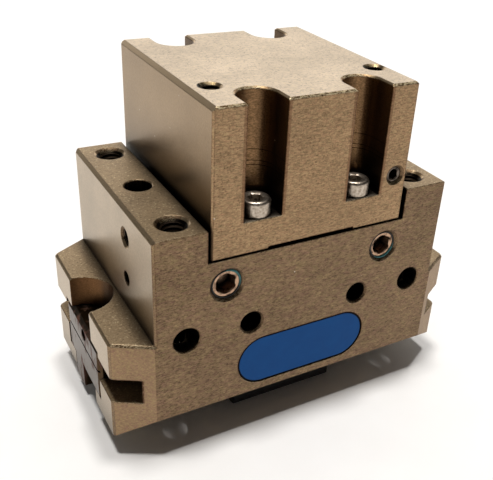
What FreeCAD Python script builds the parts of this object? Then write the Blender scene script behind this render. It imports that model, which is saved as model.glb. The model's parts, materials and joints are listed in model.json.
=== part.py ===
"""Pneumatic parallel gripper with a spring block on its back, standing on its dust cover.

Millimetres. X runs along the jaw stroke, Y through the depth, Z up towards the robot side.
The origin is on the surface under the dust cover, below the middle of the body.
Heights in the table count from the finger faces of the jaws; every body is then lifted by the stand.
The jaws are drawn closed, with the piston at the bottom of its stroke.
"""
import FreeCAD, Part
import math
import os
import re

import Sketcher

# Driving dimensions: name, size in millimetres (or degrees), meaning.
DIMENSIONS = [
    ("overcut", 1.0, "cutting profile beyond the surface that it opens"),
    ("lap", 0.5, "joined forms into each other"),
    ("depth", 42.0, "housing, front face to rear face"),
    ("body_length", 61.0, "housing between the end faces of its towers"),
    ("foot_reach", 7.0, "each foot beyond the end face"),
    ("foot_taper", 30.0, "angle of the foot's corner faces to X"),
    ("jaw_proud", 1.9, "jaws below the underside of the housing"),
    ("bottom_bevel", 4.1, "bevel along the lower front and rear edges"),
    ("foot_top", 23.0, "height of the feet"),
    ("tower_top", 43.5, "height of the towers"),
    ("tower_edge", 0.6, "chamfer of the towers' upper edges"),
    ("recess_floor", 37.2, "height of the seat between the towers"),
    ("recess_width", 41.4, "between the towers"),
    ("body_edge", 0.4, "chamfer of the housing's other outer edges"),
    ("guide_gap", 0.1, "play of the jaws in height"),
    ("channel_gap", 0.25, "room beside and above the jaws"),
    ("mouth_width", 13.0, "T-slot, mouth"),
    ("mouth_top", 5.4, "T-slot, height of the lip under the jaw"),
    ("channel_width", 20.2, "T-slot, middle channel"),
    ("channel_top", 16.6, "T-slot, ceiling of the channel"),
    ("wing_width", 39.5, "T-slot, wing grooves"),
    ("wing_low", 10.2, "wing groove, floor"),
    ("wing_high", 15.4, "wing groove, ceiling"),
    ("notch_radius", 6.15, "switch notch in the foot"),
    ("notch_inset", 0.3, "notch centre inside the foot's end"),
    ("bolt_span_x", 50.0, "tower bolts along X"),
    ("bolt_span_y", 32.0, "tower bolts along Y"),
    ("bolt_core", 4.2, "tapped bore of the tower bolts"),
    ("bolt_mouth", 6.1, "countersink of the tower bolts"),
    ("pin_bore", 5.0, "centring hole in each tower"),
    ("pin_depth", 6.0, "depth of the centring hole"),
    ("side_height", 22.5, "height of the side mounting holes"),
    ("side_bolt_span", 23.4, "inner pair of side holes, tapped"),
    ("side_bolt_bore", 4.2, "bore of the inner pair"),
    ("side_bolt_mouth", 4.9, "countersink of the inner pair"),
    ("side_bolt_depth", 10.0, "depth of the inner pair"),
    ("side_pin_span", 49.2, "outer pair of side holes, for pins"),
    ("side_pin_bore", 5.0, "bore of the outer pair"),
    ("side_pin_depth", 14.0, "depth of the outer pair, across the tower bolts"),
    ("fine_edge", 0.2, "chamfer of a pin hole and other fine edges"),
    ("port_span", 33.8, "between the two air ports"),
    ("port_height", 32.0, "height of the air ports"),
    ("port_bore", 5.0, "bore of an air port"),
    ("port_mouth", 6.85, "countersink of an air port"),
    ("port_depth", 8.0, "depth of an air port"),
    ("channel_bore", 1.6, "drilled air channel"),
    ("channel_inset", 1.2, "channel's end inside the bore that it feeds"),
    ("bracket_y", 7.6, "switch bracket holes from mid-depth"),
    ("bracket_screw_z", 37.7, "height of the bracket's screw hole"),
    ("bracket_screw_bore", 3.3, "bore of the bracket's screw hole"),
    ("bracket_mouth", 4.1, "countersink of the bracket's screw hole"),
    ("bracket_pin_z", 29.3, "height of the bracket's pin hole"),
    ("bracket_pin_bore", 2.86, "bore of the bracket's pin hole"),
    ("bracket_depth", 6.0, "depth of both"),
    ("plate_length", 28.5, "recess of the name plate"),
    ("plate_height", 10.8, "recess of the name plate"),
    ("plate_z", 13.1, "height of the plate's middle"),
    ("plate_recess", 0.4, "depth of the recess"),
    ("plate_gap", 0.15, "gap round the plate"),
    ("plate_thickness", 0.3, "name plate"),
    ("cylinder_bore", 30.0, "piston bore"),
    ("cylinder_floor", 25.6, "height of the bore's floor"),
    ("rod_diameter", 10.0, "shank of the wedge hook"),
    ("fit_gap", 0.05, "radial play of the piston and the shank"),
    ("seal_gap", 0.03, "radial play drawn at a running seal"),
    ("seal_lip", 0.5, "width of a running seal's lips at their edges"),
    ("seal_play", 0.4, "a running seal's play along its groove"),
    ("rod_seal_width", 2.0, "radial width of the shank's seal"),
    ("rod_seal_groove", 2.4, "width of its groove"),
    ("rod_seal_z", 23.2, "height of the shank's seal"),
    ("face_seal_diameter", 34.4, "mean diameter of the seal under the block"),
    ("face_seal_height", 1.3, "thickness of the flat seal under the block"),
    ("face_seal_width", 1.6, "radial width of the flat seal"),
    ("face_seal_groove", 2.0, "width of its groove"),
    ("block_length", 40.2, "spring block along X"),
    ("block_depth", 41.6, "spring block along Y"),
    ("block_top", 64.5, "height of the spring block"),
    ("block_side_edge", 0.7, "chamfer of the block's end edges"),
    ("block_front_edge", 0.35, "chamfer of the block's other edges"),
    ("screw_span_x", 20.8, "block screws along X"),
    ("screw_span_y", 35.6, "block screws along Y"),
    ("slot_width", 7.4, "screw slot in the block"),
    ("slot_reach", 34.3, "between the slots' round backs' centres"),
    ("slot_floor", 43.5, "height of the slots' floors"),
    ("relief_length", 18.0, "pry relief under the block's front edge"),
    ("relief_height", 0.65, "pry relief"),
    ("relief_depth", 1.9, "pry relief"),
    ("spring_bore", 25.0, "bore of the block"),
    ("spring_bore_top", 60.0, "height of that bore's ceiling"),
    ("lift_left_x", 16.0, "left tapped hole in the block's top"),
    ("lift_right_x", 17.2, "right tapped hole in the block's top"),
    ("lift_y", 10.9, "both, in front of mid-depth"),
    ("lift_bore", 3.3, "bore of both"),
    ("lift_mouth", 4.3, "countersink of both"),
    ("lift_depth", 8.0, "depth of both"),
    ("vent_x", 17.4, "vent in the block's front"),
    ("vent_z", 46.9, "vent in the block's front"),
    ("vent_bore", 3.0, "vent in the block's front"),
    ("vent_mouth", 4.0, "countersink of the vent"),
    ("vent_depth", 5.0, "depth of the vent's thread"),
    ("piston_height", 5.0, "piston"),
    ("piston_lift", 0.3, "piston above the bore's floor when closed"),
    ("piston_stroke", 6.0, "piston"),
    ("jaw_stroke", 3.0, "each jaw"),
    ("piston_edge", 0.5, "chamfer of the piston"),
    ("piston_groove", 2.8, "width of the piston's seal groove"),
    ("piston_groove_depth", 2.45, "depth of the piston's seal groove"),
    ("hook_low", 3.0, "wedge hook, underside"),
    ("hook_top", 14.4, "wedge hook, shoulder under the shank"),
    ("hook_top_width", 10.4, "wedge hook at its shoulder"),
    ("hook_depth", 12.4, "wedge hook through its depth"),
    ("rail_step", 2.4, "neck and head of the hook's rails, along X"),
    ("rail_neck", 5.0, "rail neck through its depth"),
    ("rail_head", 9.0, "rail head through its depth"),
    ("wedge_gap", 0.15, "play between hook and jaw, along X"),
    ("pocket_top", 20.8, "ceiling of the hook's pocket"),
    ("pocket_length", 24.8, "hook's pocket along X"),
    ("wing_from", 8.0, "inner end of a jaw's wings"),
    ("wing_to", 19.0, "outer end of a jaw's wings"),
    ("rod_room", 0.5, "jaw clear of the shank"),
    ("cover_room", 0.2, "jaw above the dust cover"),
    ("jaw_foot_from", 12.6, "inner end of a jaw's finger face"),
    ("jaw_end_edge", 0.8, "chamfer of the jaw head's corners"),
    ("jaw_line_z", 11.2, "groove across the jaw's end"),
    ("jaw_line", 0.45, "width and depth of that groove"),
    ("finger_bolt_span", 14.0, "finger screws of one jaw"),
    ("finger_bolt_x", 25.0, "middle of the finger screws"),
    ("finger_bolt_bore", 3.3, "bore of the finger screws"),
    ("finger_bolt_depth", 8.0, "depth of the finger screws"),
    ("cam_bore", 2.5, "cam screw hole in the jaw's end"),
    ("cam_y", 0.8, "cam screw hole in front of mid-depth"),
    ("cam_z", 14.2, "height of the cam screw hole"),
    ("cam_depth", 6.0, "depth of the cam screw hole"),
    ("end_notch", 3.0, "notch in front of a jaw's finger end, along X"),
    ("end_notch_y", 1.3, "that notch beyond mid-depth"),
    ("cover_length", 23.4, "dust cover along X"),
    ("cover_depth", 29.2, "dust cover along Y"),
    ("cover_thickness", 4.5, "dust cover"),
    ("cover_edge", 0.3, "chamfer of the dust cover"),
    ("cover_screw_x", 9.2, "cover screws from the middle"),
    ("cover_screw_y", 11.6, "cover screws from the middle"),
    ("cover_screw", 2.0, "thread of the cover screws"),
    ("cover_screw_head", 3.8, "head of the cover screws"),
    ("cover_screw_length", 7.6, "cover screws"),
    ("cover_key", 1.3, "cover screws, key across flats"),
    ("cover_key_depth", 0.7, "cover screws, key socket"),
    ("screw_room", 0.2, "plain hole over its screw, on diameter"),
    ("thread_spare", 1.0, "tapped hole beyond its screw's end"),
    ("cap_thread", 3.0, "block screw, thread"),
    ("cap_length", 14.0, "block screw below its head"),
    ("cap_head", 5.5, "block screw, head diameter"),
    ("cap_height", 3.0, "block screw, head height"),
    ("cap_key", 2.5, "block screw, key across flats"),
    ("cap_edge", 0.3, "block screw, rim chamfer"),
    ("rod_screw_thread", 5.0, "piston screw, thread"),
    ("rod_screw_length", 13.0, "piston screw below its head"),
    ("rod_screw_head", 8.5, "piston screw, head diameter"),
    ("rod_screw_height", 5.0, "piston screw, head height"),
    ("rod_screw_key", 4.0, "piston screw, key across flats"),
    ("plug_recess", 1.0, "port plug below the front face"),
    ("plug_length", 5.0, "port plug"),
    ("plug_edge", 0.3, "chamfer of a plug"),
    ("plug_key", 2.5, "port plug, key across flats"),
    ("vent_plug_recess", 0.5, "vent plug below the block's front"),
    ("vent_plug_length", 3.5, "vent plug"),
    ("vent_plug_key", 1.5, "vent plug, key across flats"),
    ("seat_thickness", 1.0, "washer under the spring"),
    ("seat_outer", 24.4, "washer under the spring"),
    ("seat_inner", 12.0, "washer under the spring"),
    ("spring_mean", 20.0, "closing spring, mean diameter"),
    ("spring_wire", 2.6, "closing spring, radial width of its rectangular wire"),
    ("spring_wire_height", 2.2, "closing spring, height of that wire"),
    ("spring_turns", 5.5, "closing spring, turns"),
    ("spring_ground", 0.5, "wire ground off each end of the spring"),
]
ALIASES = {name for name, size, meaning in DIMENSIONS}

doc = FreeCAD.newDocument("parallel_gripper")
sheet = doc.addObject("Spreadsheet::Sheet", "Sizes")
for row, (name, size, meaning) in enumerate(DIMENSIONS, start=1):
    sheet.set(f"A{row}", meaning)
    sheet.set(f"B{row}", str(size))
    sheet.setAlias(f"B{row}", name)
doc.recompute()

# Lengths that follow from the driving dimensions.
STAND = "(cover_thickness - jaw_proud)"
FOOT_END = "(body_length / 2 + foot_reach)"
TAPER = "foot_taper * 1 deg"
FOOT_HALF = f"(depth / 2 - foot_reach * tan({TAPER}))"
JAW_SIDE = "(channel_width / 2 - channel_gap)"
JAW_TOP = "(channel_top - channel_gap)"
PISTON_LOW = "(cylinder_floor + piston_lift)"
PISTON_TOP = "(cylinder_floor + piston_lift + piston_height)"
SEAT_TOP = "(cylinder_floor + piston_lift + piston_height + seat_thickness)"
WEDGE = "(jaw_stroke / piston_stroke)"
PLATE_END = "(plate_length - plate_height) / 2"


def full(formula):
    """Write a formula of sheet names as an expression on the sheet."""
    return re.sub(r"[a-z_]{3,}", lambda m: f"Sizes.{m[0]}" if m[0] in ALIASES else m[0], str(formula))


def value(formula):
    """Number that a formula gives now."""
    result = sheet.evalExpression(full(formula))
    return float(getattr(result, "Value", result))


def bind(thing, name, formula):
    thing.setExpression(name, full(formula))


def new_body(label):
    body = doc.addObject("PartDesign::Body", label)
    body.Label = label
    bind(body, "Placement.Base.z", STAND)
    return body


def sketch_on(body, role, height="0"):
    """Sketch parallel to an origin plane of its body, at a height measured along the third axis."""
    plane = next(item for item in body.Origin.OriginFeatures if item.Role == role)
    sketch = body.newObject("Sketcher::SketchObject", "sketch")
    sketch.AttachmentSupport = [(plane, "")]
    sketch.MapMode = "FlatFace"
    sign = "-1" if role == "XZ_Plane" else "1"
    bind(sketch, ".AttachmentOffset.Base.z", f"{sign} * ({height})")
    return sketch


def fix_point(sketch, geometry, point, x, y):
    """Hold a point of a sketch at a place given by two formulas."""
    for kind, formula in (("DistanceX", x), ("DistanceY", y)):
        index = sketch.addConstraint(
            Sketcher.Constraint(kind, -1, 1, geometry, point, value(formula)))
        bind(sketch, f"Constraints[{index}]", formula)


def polygon(sketch, corners):
    """Closed outline through corners, each a pair of formulas."""
    places = [FreeCAD.Vector(value(x), value(y), 0) for x, y in corners]
    first = sketch.GeometryCount
    count = len(places)
    for k in range(count):
        sketch.addGeometry(Part.LineSegment(places[k], places[(k + 1) % count]), False)
    for k in range(count):
        following = first + (k + 1) % count
        sketch.addConstraint(Sketcher.Constraint("Coincident", first + k, 2, following, 1))
    for k, (x, y) in enumerate(corners):
        fix_point(sketch, first + k, 1, x, y)


def fourfold(sketch, quarter):
    """Outline with two mirror lines, from its corners in the first quadrant, in order from +X to +Y."""
    upper = quarter + [(f"-({x})", y) for x, y in reversed(quarter)]
    polygon(sketch, upper + [(x, f"-({y})") for x, y in reversed(upper)])


def cut_rectangle(sketch, half_x, half_y, cut):
    """Rectangle about the origin with its corners cut at 45 degrees."""
    fourfold(sketch, [(half_x, f"{half_y} - {cut}"), (f"{half_x} - {cut}", half_y)])


def rectangle(sketch, x_low, x_high, y_low, y_high):
    polygon(sketch, [(x_low, y_low), (x_high, y_low), (x_high, y_high), (x_low, y_high)])


def circle(sketch, x, y, diameter):
    centre = FreeCAD.Vector(value(x), value(y), 0)
    round_edge = Part.Circle(centre, FreeCAD.Vector(0, 0, 1), value(diameter) / 2)
    index = sketch.addGeometry(round_edge, False)
    fix_point(sketch, index, 3, x, y)
    size = sketch.addConstraint(Sketcher.Constraint("Diameter", index, value(diameter)))
    bind(sketch, f"Constraints[{size}]", diameter)


def stadium(sketch, start, end, width):
    """Outline of constant width round the line from start to end, with round ends."""
    a = FreeCAD.Vector(value(start[0]), value(start[1]), 0)
    b = FreeCAD.Vector(value(end[0]), value(end[1]), 0)
    radius = value(width) / 2
    along = (b - a).normalize()
    across = FreeCAD.Vector(-along.y, along.x, 0) * radius
    up = FreeCAD.Vector(0, 0, 1)
    turn = math.atan2(across.y, across.x)
    first = sketch.addGeometry(Part.LineSegment(a - across, b - across), False)
    far_end = Part.ArcOfCircle(Part.Circle(b, up, radius), turn + math.pi, turn + 2 * math.pi)
    sketch.addGeometry(far_end, False)
    sketch.addGeometry(Part.LineSegment(b + across, a + across), False)
    near_end = Part.ArcOfCircle(Part.Circle(a, up, radius), turn, turn + math.pi)
    sketch.addGeometry(near_end, False)
    for k in range(4):
        sketch.addConstraint(
            Sketcher.Constraint("Tangent", first + k, 2, first + (k + 1) % 4, 1))
    fix_point(sketch, first + 1, 3, *end)
    fix_point(sketch, first + 3, 3, *start)
    size = sketch.addConstraint(Sketcher.Constraint("Radius", first + 1, radius))
    bind(sketch, f"Constraints[{size}]", f"({width}) / 2")


def hexagon(sketch, across_flats):
    """Key socket round the sketch's origin."""
    corner = f"({across_flats}) / 2 / cos(30 deg)"
    polygon(sketch, [(f"{corner} * cos({60 * k} deg)", f"{corner} * sin({60 * k} deg)") for k in range(6)])


def pad(body, sketch, length, both=False, reverse=False):
    feature = body.newObject("PartDesign::Pad", "pad")
    feature.Profile = sketch
    feature.SideType = "Symmetric" if both else "One side"
    feature.Reversed = reverse
    bind(feature, "Length", length)
    doc.recompute()
    return feature


def pocket(body, sketch, length, both=False, reverse=False):
    """Cut a sketch's outline out of its body, against the sketch's normal unless reversed."""
    before = body.Shape.Volume
    feature = body.newObject("PartDesign::Pocket", "pocket")
    feature.Profile = sketch
    feature.SideType = "Symmetric" if both else "One side"
    feature.Reversed = reverse
    bind(feature, "Length", length)
    doc.recompute()
    if body.Shape.Volume >= before:
        raise RuntimeError(f"a pocket of {body.Label} cuts nothing")
    return feature


def turn(body, sketch, kind="PartDesign::Revolution"):
    """Revolve or groove a sketch on the XZ plane about the body's own Z axis."""
    feature = body.newObject(kind, "turned")
    feature.Profile = sketch
    feature.ReferenceAxis = (sketch, ["V_Axis"])
    feature.Angle = 360
    doc.recompute()
    return feature


def chamfer(body, size, wanted):
    """Chamfer every edge of the body that passes the test."""
    base = body.Tip
    names = [f"Edge{k}" for k, edge in enumerate(base.Shape.Edges, start=1) if wanted(edge)]
    if not names:
        raise RuntimeError(f"no edge of {body.Label} to chamfer")
    feature = body.newObject("PartDesign::Chamfer", "chamfer")
    feature.Base = (base, names)
    bind(feature, "Size", size)
    doc.recompute()
    if "Invalid" in feature.State:
        raise RuntimeError(f"a chamfer of {body.Label} fails")
    return feature


def bevel(body, role, half, level, size, up, length):
    """Cut the two edges at plus and minus half and at a level, at 45 degrees.

    The cut runs along the axis across the sketch plane; up is 1 for upper edges and -1 for lower ones.
    """
    corners = sketch_on(body, role)
    for side in (-1, 1):
        polygon(corners, [
            (f"{side} * ({half} + overcut)", f"{level} - {up} * ({size} + overcut)"),
            (f"{side} * ({half} + overcut)", f"{level} + {up} * overcut"),
            (f"{side} * ({half} - {size} - overcut)", f"{level} + {up} * overcut")])
    pocket(body, corners, f"{length} + 2 * overcut", both=True)


def near(a, b):
    return abs(a - b) < 1e-4


def mouth(axis, plane, diameter, **levels):
    """Test for the round edge of a hole's mouth in a plane across an axis, at other levels where given."""
    targets = {name: value(formula) for name, formula in {axis: plane, **levels}.items()}
    radius = value(diameter) / 2

    def wanted(edge):
        curve = edge.Curve
        if not isinstance(curve, Part.Circle) or not near(curve.Radius, radius):
            return False
        return edge.isClosed() and all(near(getattr(curve.Center, name), at) for name, at in targets.items())
    return wanted


def straight(**levels):
    """Test for a straight edge that lies at the given levels, such as z=43.5 (signs ignored)."""
    targets = {axis: value(formula) for axis, formula in levels.items()}

    def wanted(edge):
        if not isinstance(edge.Curve, Part.Line):
            return False
        ends = [vertex.Point for vertex in edge.Vertexes]
        return all(near(abs(getattr(end, axis)), level) for axis, level in targets.items() for end in ends)
    return wanted


def place(body, x="0", y="0", z="0", axis=None, angle=0):
    """Move a finished body to its seat."""
    if axis:
        body.Placement = FreeCAD.Placement(FreeCAD.Vector(), FreeCAD.Rotation(FreeCAD.Vector(*axis), angle))
    for name, formula in (("x", x), ("y", y), ("z", f"{z} + {STAND}")):
        bind(body, f"Placement.Base.{name}", formula)


def drill(body, start, end, diameter):
    """Straight drilling between two points of the body, given as numbers."""
    a = FreeCAD.Vector(*start)
    b = FreeCAD.Vector(*end)
    before = body.Shape.Volume
    hole = body.newObject("PartDesign::SubtractiveCylinder", "drilling")
    bind(hole, "Radius", f"({diameter}) / 2")
    hole.Height = (b - a).Length
    hole.Placement = FreeCAD.Placement(a, FreeCAD.Rotation(FreeCAD.Vector(0, 0, 1), b - a))
    doc.recompute()
    if body.Shape.Volume >= before:
        raise RuntimeError(f"a drilling of {body.Label} cuts nothing")


def both_signs(x, y):
    """The four mirror images of a point."""
    return [(f"{sx} * ({x})", f"{sy} * ({y})") for sx in (-1, 1) for sy in (-1, 1)]


def housing_form(body):
    """Outer form: tapered feet below, plain block above, bevelled lower edges, seat between two towers."""
    plan = sketch_on(body, "XY_Plane", "jaw_proud")
    fourfold(plan, [
        (FOOT_END, f"{FOOT_HALF} - body_edge"),
        (f"{FOOT_END} - body_edge * cos({TAPER})", f"{FOOT_HALF} + body_edge * sin({TAPER})"),
        ("body_length / 2", "depth / 2")])
    pad(body, plan, "foot_top - jaw_proud")
    block = sketch_on(body, "XY_Plane", "foot_top")
    cut_rectangle(block, "body_length / 2", "depth / 2", "body_edge")
    pad(body, block, "tower_top - foot_top")
    bevel(body, "YZ_Plane", "depth / 2", "jaw_proud", "bottom_bevel", -1, f"2 * {FOOT_END}")
    bevel(body, "XZ_Plane", "body_length / 2", "tower_top", "tower_edge", 1, "depth")
    seat = sketch_on(body, "XZ_Plane")
    rectangle(seat, "-recess_width / 2", "recess_width / 2", "recess_floor", "tower_top + overcut")
    pocket(body, seat, "depth + 2 * overcut", both=True)


def housing_guides(body):
    """T-slot along the stroke, switch notches in the feet, the hook's pocket, bores for shank and piston."""
    slot = sketch_on(body, "YZ_Plane")
    right = [
        ("mouth_width / 2", "jaw_proud - overcut"), ("mouth_width / 2", "mouth_top"),
        ("channel_width / 2", "mouth_top"), ("channel_width / 2", "wing_low"),
        ("wing_width / 2", "wing_low"), ("wing_width / 2", "wing_high"),
        ("channel_width / 2", "wing_high"), ("channel_width / 2", "channel_top")]
    left = [(f"-({y})", z) for y, z in reversed(right)]
    polygon(slot, right + left)
    pocket(body, slot, f"2 * ({FOOT_END} + overcut)", both=True)
    notches = sketch_on(body, "XY_Plane", "foot_top")
    for side in (-1, 1):
        circle(notches, f"{side} * ({FOOT_END} - notch_inset)", "0", "2 * notch_radius")
    pocket(body, notches, "foot_top - channel_top + overcut")
    hook_pocket = sketch_on(body, "XY_Plane", "channel_top - overcut")
    rectangle(hook_pocket, "-pocket_length / 2", "pocket_length / 2", "-mouth_width / 2", "mouth_width / 2")
    pocket(body, hook_pocket, "pocket_top - channel_top + overcut", reverse=True)
    bore = sketch_on(body, "XY_Plane", "recess_floor")
    circle(bore, "0", "0", "cylinder_bore")
    pocket(body, bore, "recess_floor - cylinder_floor")
    shank = sketch_on(body, "XY_Plane", "cylinder_floor")
    circle(shank, "0", "0", "rod_diameter + 2 * fit_gap")
    pocket(body, shank, "cylinder_floor - pocket_top + overcut")
    seal = sketch_on(body, "XZ_Plane")
    rectangle(seal, "rod_diameter / 2 - overcut", "rod_diameter / 2 + seal_gap + rod_seal_width",
              "rod_seal_z - rod_seal_groove / 2", "rod_seal_z + rod_seal_groove / 2")
    turn(body, seal, "PartDesign::Groove")
    groove = sketch_on(body, "XY_Plane", "recess_floor")
    circle(groove, "0", "0", "face_seal_diameter - face_seal_groove")
    circle(groove, "0", "0", "face_seal_diameter + face_seal_groove")
    pocket(body, groove, "face_seal_height")


def housing_mounts(body):
    """Holes for a stranger's bolts and pins, the air ports, and the threads for the housing's own screws."""
    bolts = sketch_on(body, "XY_Plane", "tower_top")
    for x, y in both_signs("bolt_span_x / 2", "bolt_span_y / 2"):
        circle(bolts, x, y, "bolt_core")
    pocket(body, bolts, "tower_top")
    pins = sketch_on(body, "XY_Plane", "tower_top")
    for side in (-1, 1):
        circle(pins, f"{side} * bolt_span_x / 2", "0", "pin_bore")
    pocket(body, pins, "pin_depth")
    for side in (-1, 1):
        for kind in ("side_bolt", "side_pin"):
            face = sketch_on(body, "XZ_Plane", f"{side} * depth / 2")
            for end in (-1, 1):
                circle(face, f"{end} * {kind}_span / 2", "side_height", f"{kind}_bore")
            pocket(body, face, f"{kind}_depth", reverse=side > 0)
    ports = sketch_on(body, "XZ_Plane", "-depth / 2")
    for side in (-1, 1):
        circle(ports, f"{side} * port_span / 2", "port_height", "port_bore")
    pocket(body, ports, "port_depth")
    for side in (-1, 1):
        end = sketch_on(body, "YZ_Plane", f"{side} * body_length / 2")
        circle(end, f"{side} * bracket_y", "bracket_screw_z", "bracket_screw_bore")
        circle(end, f"{side} * bracket_y", "bracket_pin_z", "bracket_pin_bore")
        pocket(body, end, "bracket_depth", reverse=side < 0)
    threads = sketch_on(body, "XY_Plane", "recess_floor")
    for x, y in both_signs("screw_span_x / 2", "screw_span_y / 2"):
        circle(threads, x, y, "cap_thread")
    pocket(body, threads, "cap_length - (slot_floor - recess_floor) + thread_spare")
    cover = sketch_on(body, "XY_Plane", "jaw_proud")
    for x, y in both_signs("cover_screw_x", "cover_screw_y"):
        circle(cover, x, y, "cover_screw")
    pocket(body, cover, "cover_screw_length - cover_thickness + thread_spare", reverse=True)
    plate = sketch_on(body, "XZ_Plane", "-depth / 2")
    stadium(plate, (f"-{PLATE_END}", "plate_z"), (PLATE_END, "plate_z"), "plate_height")
    pocket(body, plate, "plate_recess")


def air_channels(body):
    """Slanting drillings from the ports: the left one to the foot of the bore, the right one to its head."""
    port_end = -value("depth / 2 - port_depth")
    x = value("port_span / 2")
    z = value("port_height")
    inside = value("cylinder_bore / 2 * cos(45 deg) - channel_inset")
    low = value("cylinder_floor + channel_inset")
    high = value("recess_floor - channel_inset")
    drill(body, (-x, port_end, z), (-inside, -inside, low), "channel_bore")
    drill(body, (x, port_end, z), (inside, -inside, high), "channel_bore")


def make_housing():
    body = new_body("housing")
    housing_form(body)
    housing_guides(body)
    housing_mounts(body)
    air_channels(body)
    rim = straight(z="foot_top")
    tower_end = value("body_length / 2")
    chamfer(body, "body_edge", lambda edge: rim(edge) and abs(edge.CenterOfMass.x) > tower_end + 0.01)
    chamfer(body, "(bolt_mouth - bolt_core) / 2", mouth("z", "tower_top", "bolt_core"))
    chamfer(body, "fine_edge", mouth("z", "tower_top", "pin_bore"))
    front = "-depth / 2"
    chamfer(body, "(port_mouth - port_bore) / 2", mouth("y", front, "port_bore", z="port_height"))
    for face in (front, "depth / 2"):
        chamfer(body, "fine_edge", mouth("y", face, "side_pin_bore", z="side_height"))
        tapped = mouth("y", face, "side_bolt_bore", z="side_height")
        chamfer(body, "(side_bolt_mouth - side_bolt_bore) / 2", tapped)
    for side in ("-1", "1"):
        plane = f"{side} * body_length / 2"
        chamfer(body, "(bracket_mouth - bracket_screw_bore) / 2", mouth("x", plane, "bracket_screw_bore"))
    chamfer(body, "fine_edge", straight(x="recess_width / 2", z="tower_top"))


def make_spring_housing():
    """Block between the towers: screw slots in its long faces, the spring's bore from below."""
    body = new_body("spring_housing")
    plan = sketch_on(body, "XY_Plane", "recess_floor")
    cut_rectangle(plan, "block_length / 2", "block_depth / 2", "block_front_edge")
    pad(body, plan, "block_top - recess_floor")
    bevel(body, "XZ_Plane", "block_length / 2", "block_top", "block_side_edge", 1, "block_depth")
    bevel(body, "YZ_Plane", "block_depth / 2", "block_top", "block_front_edge", 1, "block_length")
    bevel(body, "XZ_Plane", "block_length / 2", "recess_floor", "block_front_edge", -1, "block_depth")
    bevel(body, "YZ_Plane", "block_depth / 2", "recess_floor", "block_front_edge", -1, "block_length")
    screw_slots(body, "slot_width", "block_top - slot_floor")
    rim = screw_slots(body, "slot_width + 2 * block_front_edge", "block_front_edge")
    rim.TaperAngle = -45
    doc.recompute()
    screws = sketch_on(body, "XY_Plane", "slot_floor")
    for x, y in both_signs("screw_span_x / 2", "screw_span_y / 2"):
        circle(screws, x, y, "cap_thread + screw_room")
    pocket(body, screws, "slot_floor - recess_floor")
    bore = sketch_on(body, "XY_Plane", "recess_floor")
    circle(bore, "0", "0", "spring_bore")
    pocket(body, bore, "spring_bore_top - recess_floor", reverse=True)
    lifting = sketch_on(body, "XY_Plane", "block_top")
    circle(lifting, "-lift_left_x", "-lift_y", "lift_bore")
    circle(lifting, "lift_right_x", "-lift_y", "lift_bore")
    pocket(body, lifting, "lift_depth")
    vent = sketch_on(body, "XZ_Plane", "-block_depth / 2")
    circle(vent, "vent_x", "vent_z", "vent_bore")
    pocket(body, vent, "vent_depth")
    vent_end = -value("block_depth / 2 - vent_depth")
    vent_z = value("vent_z")
    inside = value("spring_bore / 2 * cos(45 deg) - channel_inset")
    drill(body, (value("vent_x"), vent_end, vent_z), (inside, -inside, vent_z), "channel_bore")
    relief = sketch_on(body, "XZ_Plane", "-block_depth / 2")
    rectangle(relief, "-relief_length / 2", "relief_length / 2",
              "recess_floor - overcut", "recess_floor + relief_height")
    pocket(body, relief, "relief_depth")
    chamfer(body, "(lift_mouth - lift_bore) / 2", mouth("z", "block_top", "lift_bore"))
    chamfer(body, "(vent_mouth - vent_bore) / 2", mouth("y", "-block_depth / 2", "vent_bore"))


def screw_slots(body, width, length):
    """Cut the four screw slots, open to the block's long faces, to a width and a depth."""
    slots = sketch_on(body, "XY_Plane", "block_top")
    for x, y in both_signs("screw_span_x / 2", "1"):
        back = f"{y} * slot_reach / 2"
        outside = f"{y} * (block_depth / 2 + slot_width)"
        stadium(slots, (x, back), (x, outside), width)
    return pocket(body, slots, length)


def core_side(z, extra="0"):
    """Half width of the wedge hook at a height, with the piston at the bottom of its stroke."""
    return f"(hook_top_width / 2 + {WEDGE} * (hook_top - ({z})) + {extra})"


def slanted_strip(sketch, side, z_low, z_high, x_from, x_to):
    """Strip along the hook's flank, between two distances from it along X."""
    polygon(sketch, [
        (f"{side} * {core_side(z_low, x_from)}", z_low), (f"{side} * {core_side(z_low, x_to)}", z_low),
        (f"{side} * {core_side(z_high, x_to)}", z_high), (f"{side} * {core_side(z_high, x_from)}", z_high)])


def make_wedge_hook():
    """Wedge with a T-rail on each slanting flank, and the shank that carries the piston."""
    body = new_body("wedge_hook")
    core = sketch_on(body, "XZ_Plane")
    polygon(core, [
        (f"-{core_side('hook_low')}", "hook_low"), (core_side("hook_low"), "hook_low"),
        (core_side("hook_top"), "hook_top"), (f"-{core_side('hook_top')}", "hook_top")])
    pad(body, core, "hook_depth", both=True)
    necks = sketch_on(body, "XZ_Plane")
    heads = sketch_on(body, "XZ_Plane")
    for side in (-1, 1):
        slanted_strip(necks, side, "hook_low", "hook_top", "-lap", "rail_step + lap")
        slanted_strip(heads, side, "hook_low", "hook_top", "rail_step", "2 * rail_step")
    pad(body, necks, "rail_neck", both=True)
    pad(body, heads, "rail_head", both=True)
    shank = sketch_on(body, "XY_Plane", "hook_top")
    circle(shank, "0", "0", "rod_diameter")
    pad(body, shank, f"{PISTON_LOW} - hook_top")
    thread = sketch_on(body, "XY_Plane", PISTON_LOW)
    circle(thread, "0", "0", "rod_screw_thread")
    pocket(body, thread, "rod_screw_length - piston_height + thread_spare")


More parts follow.
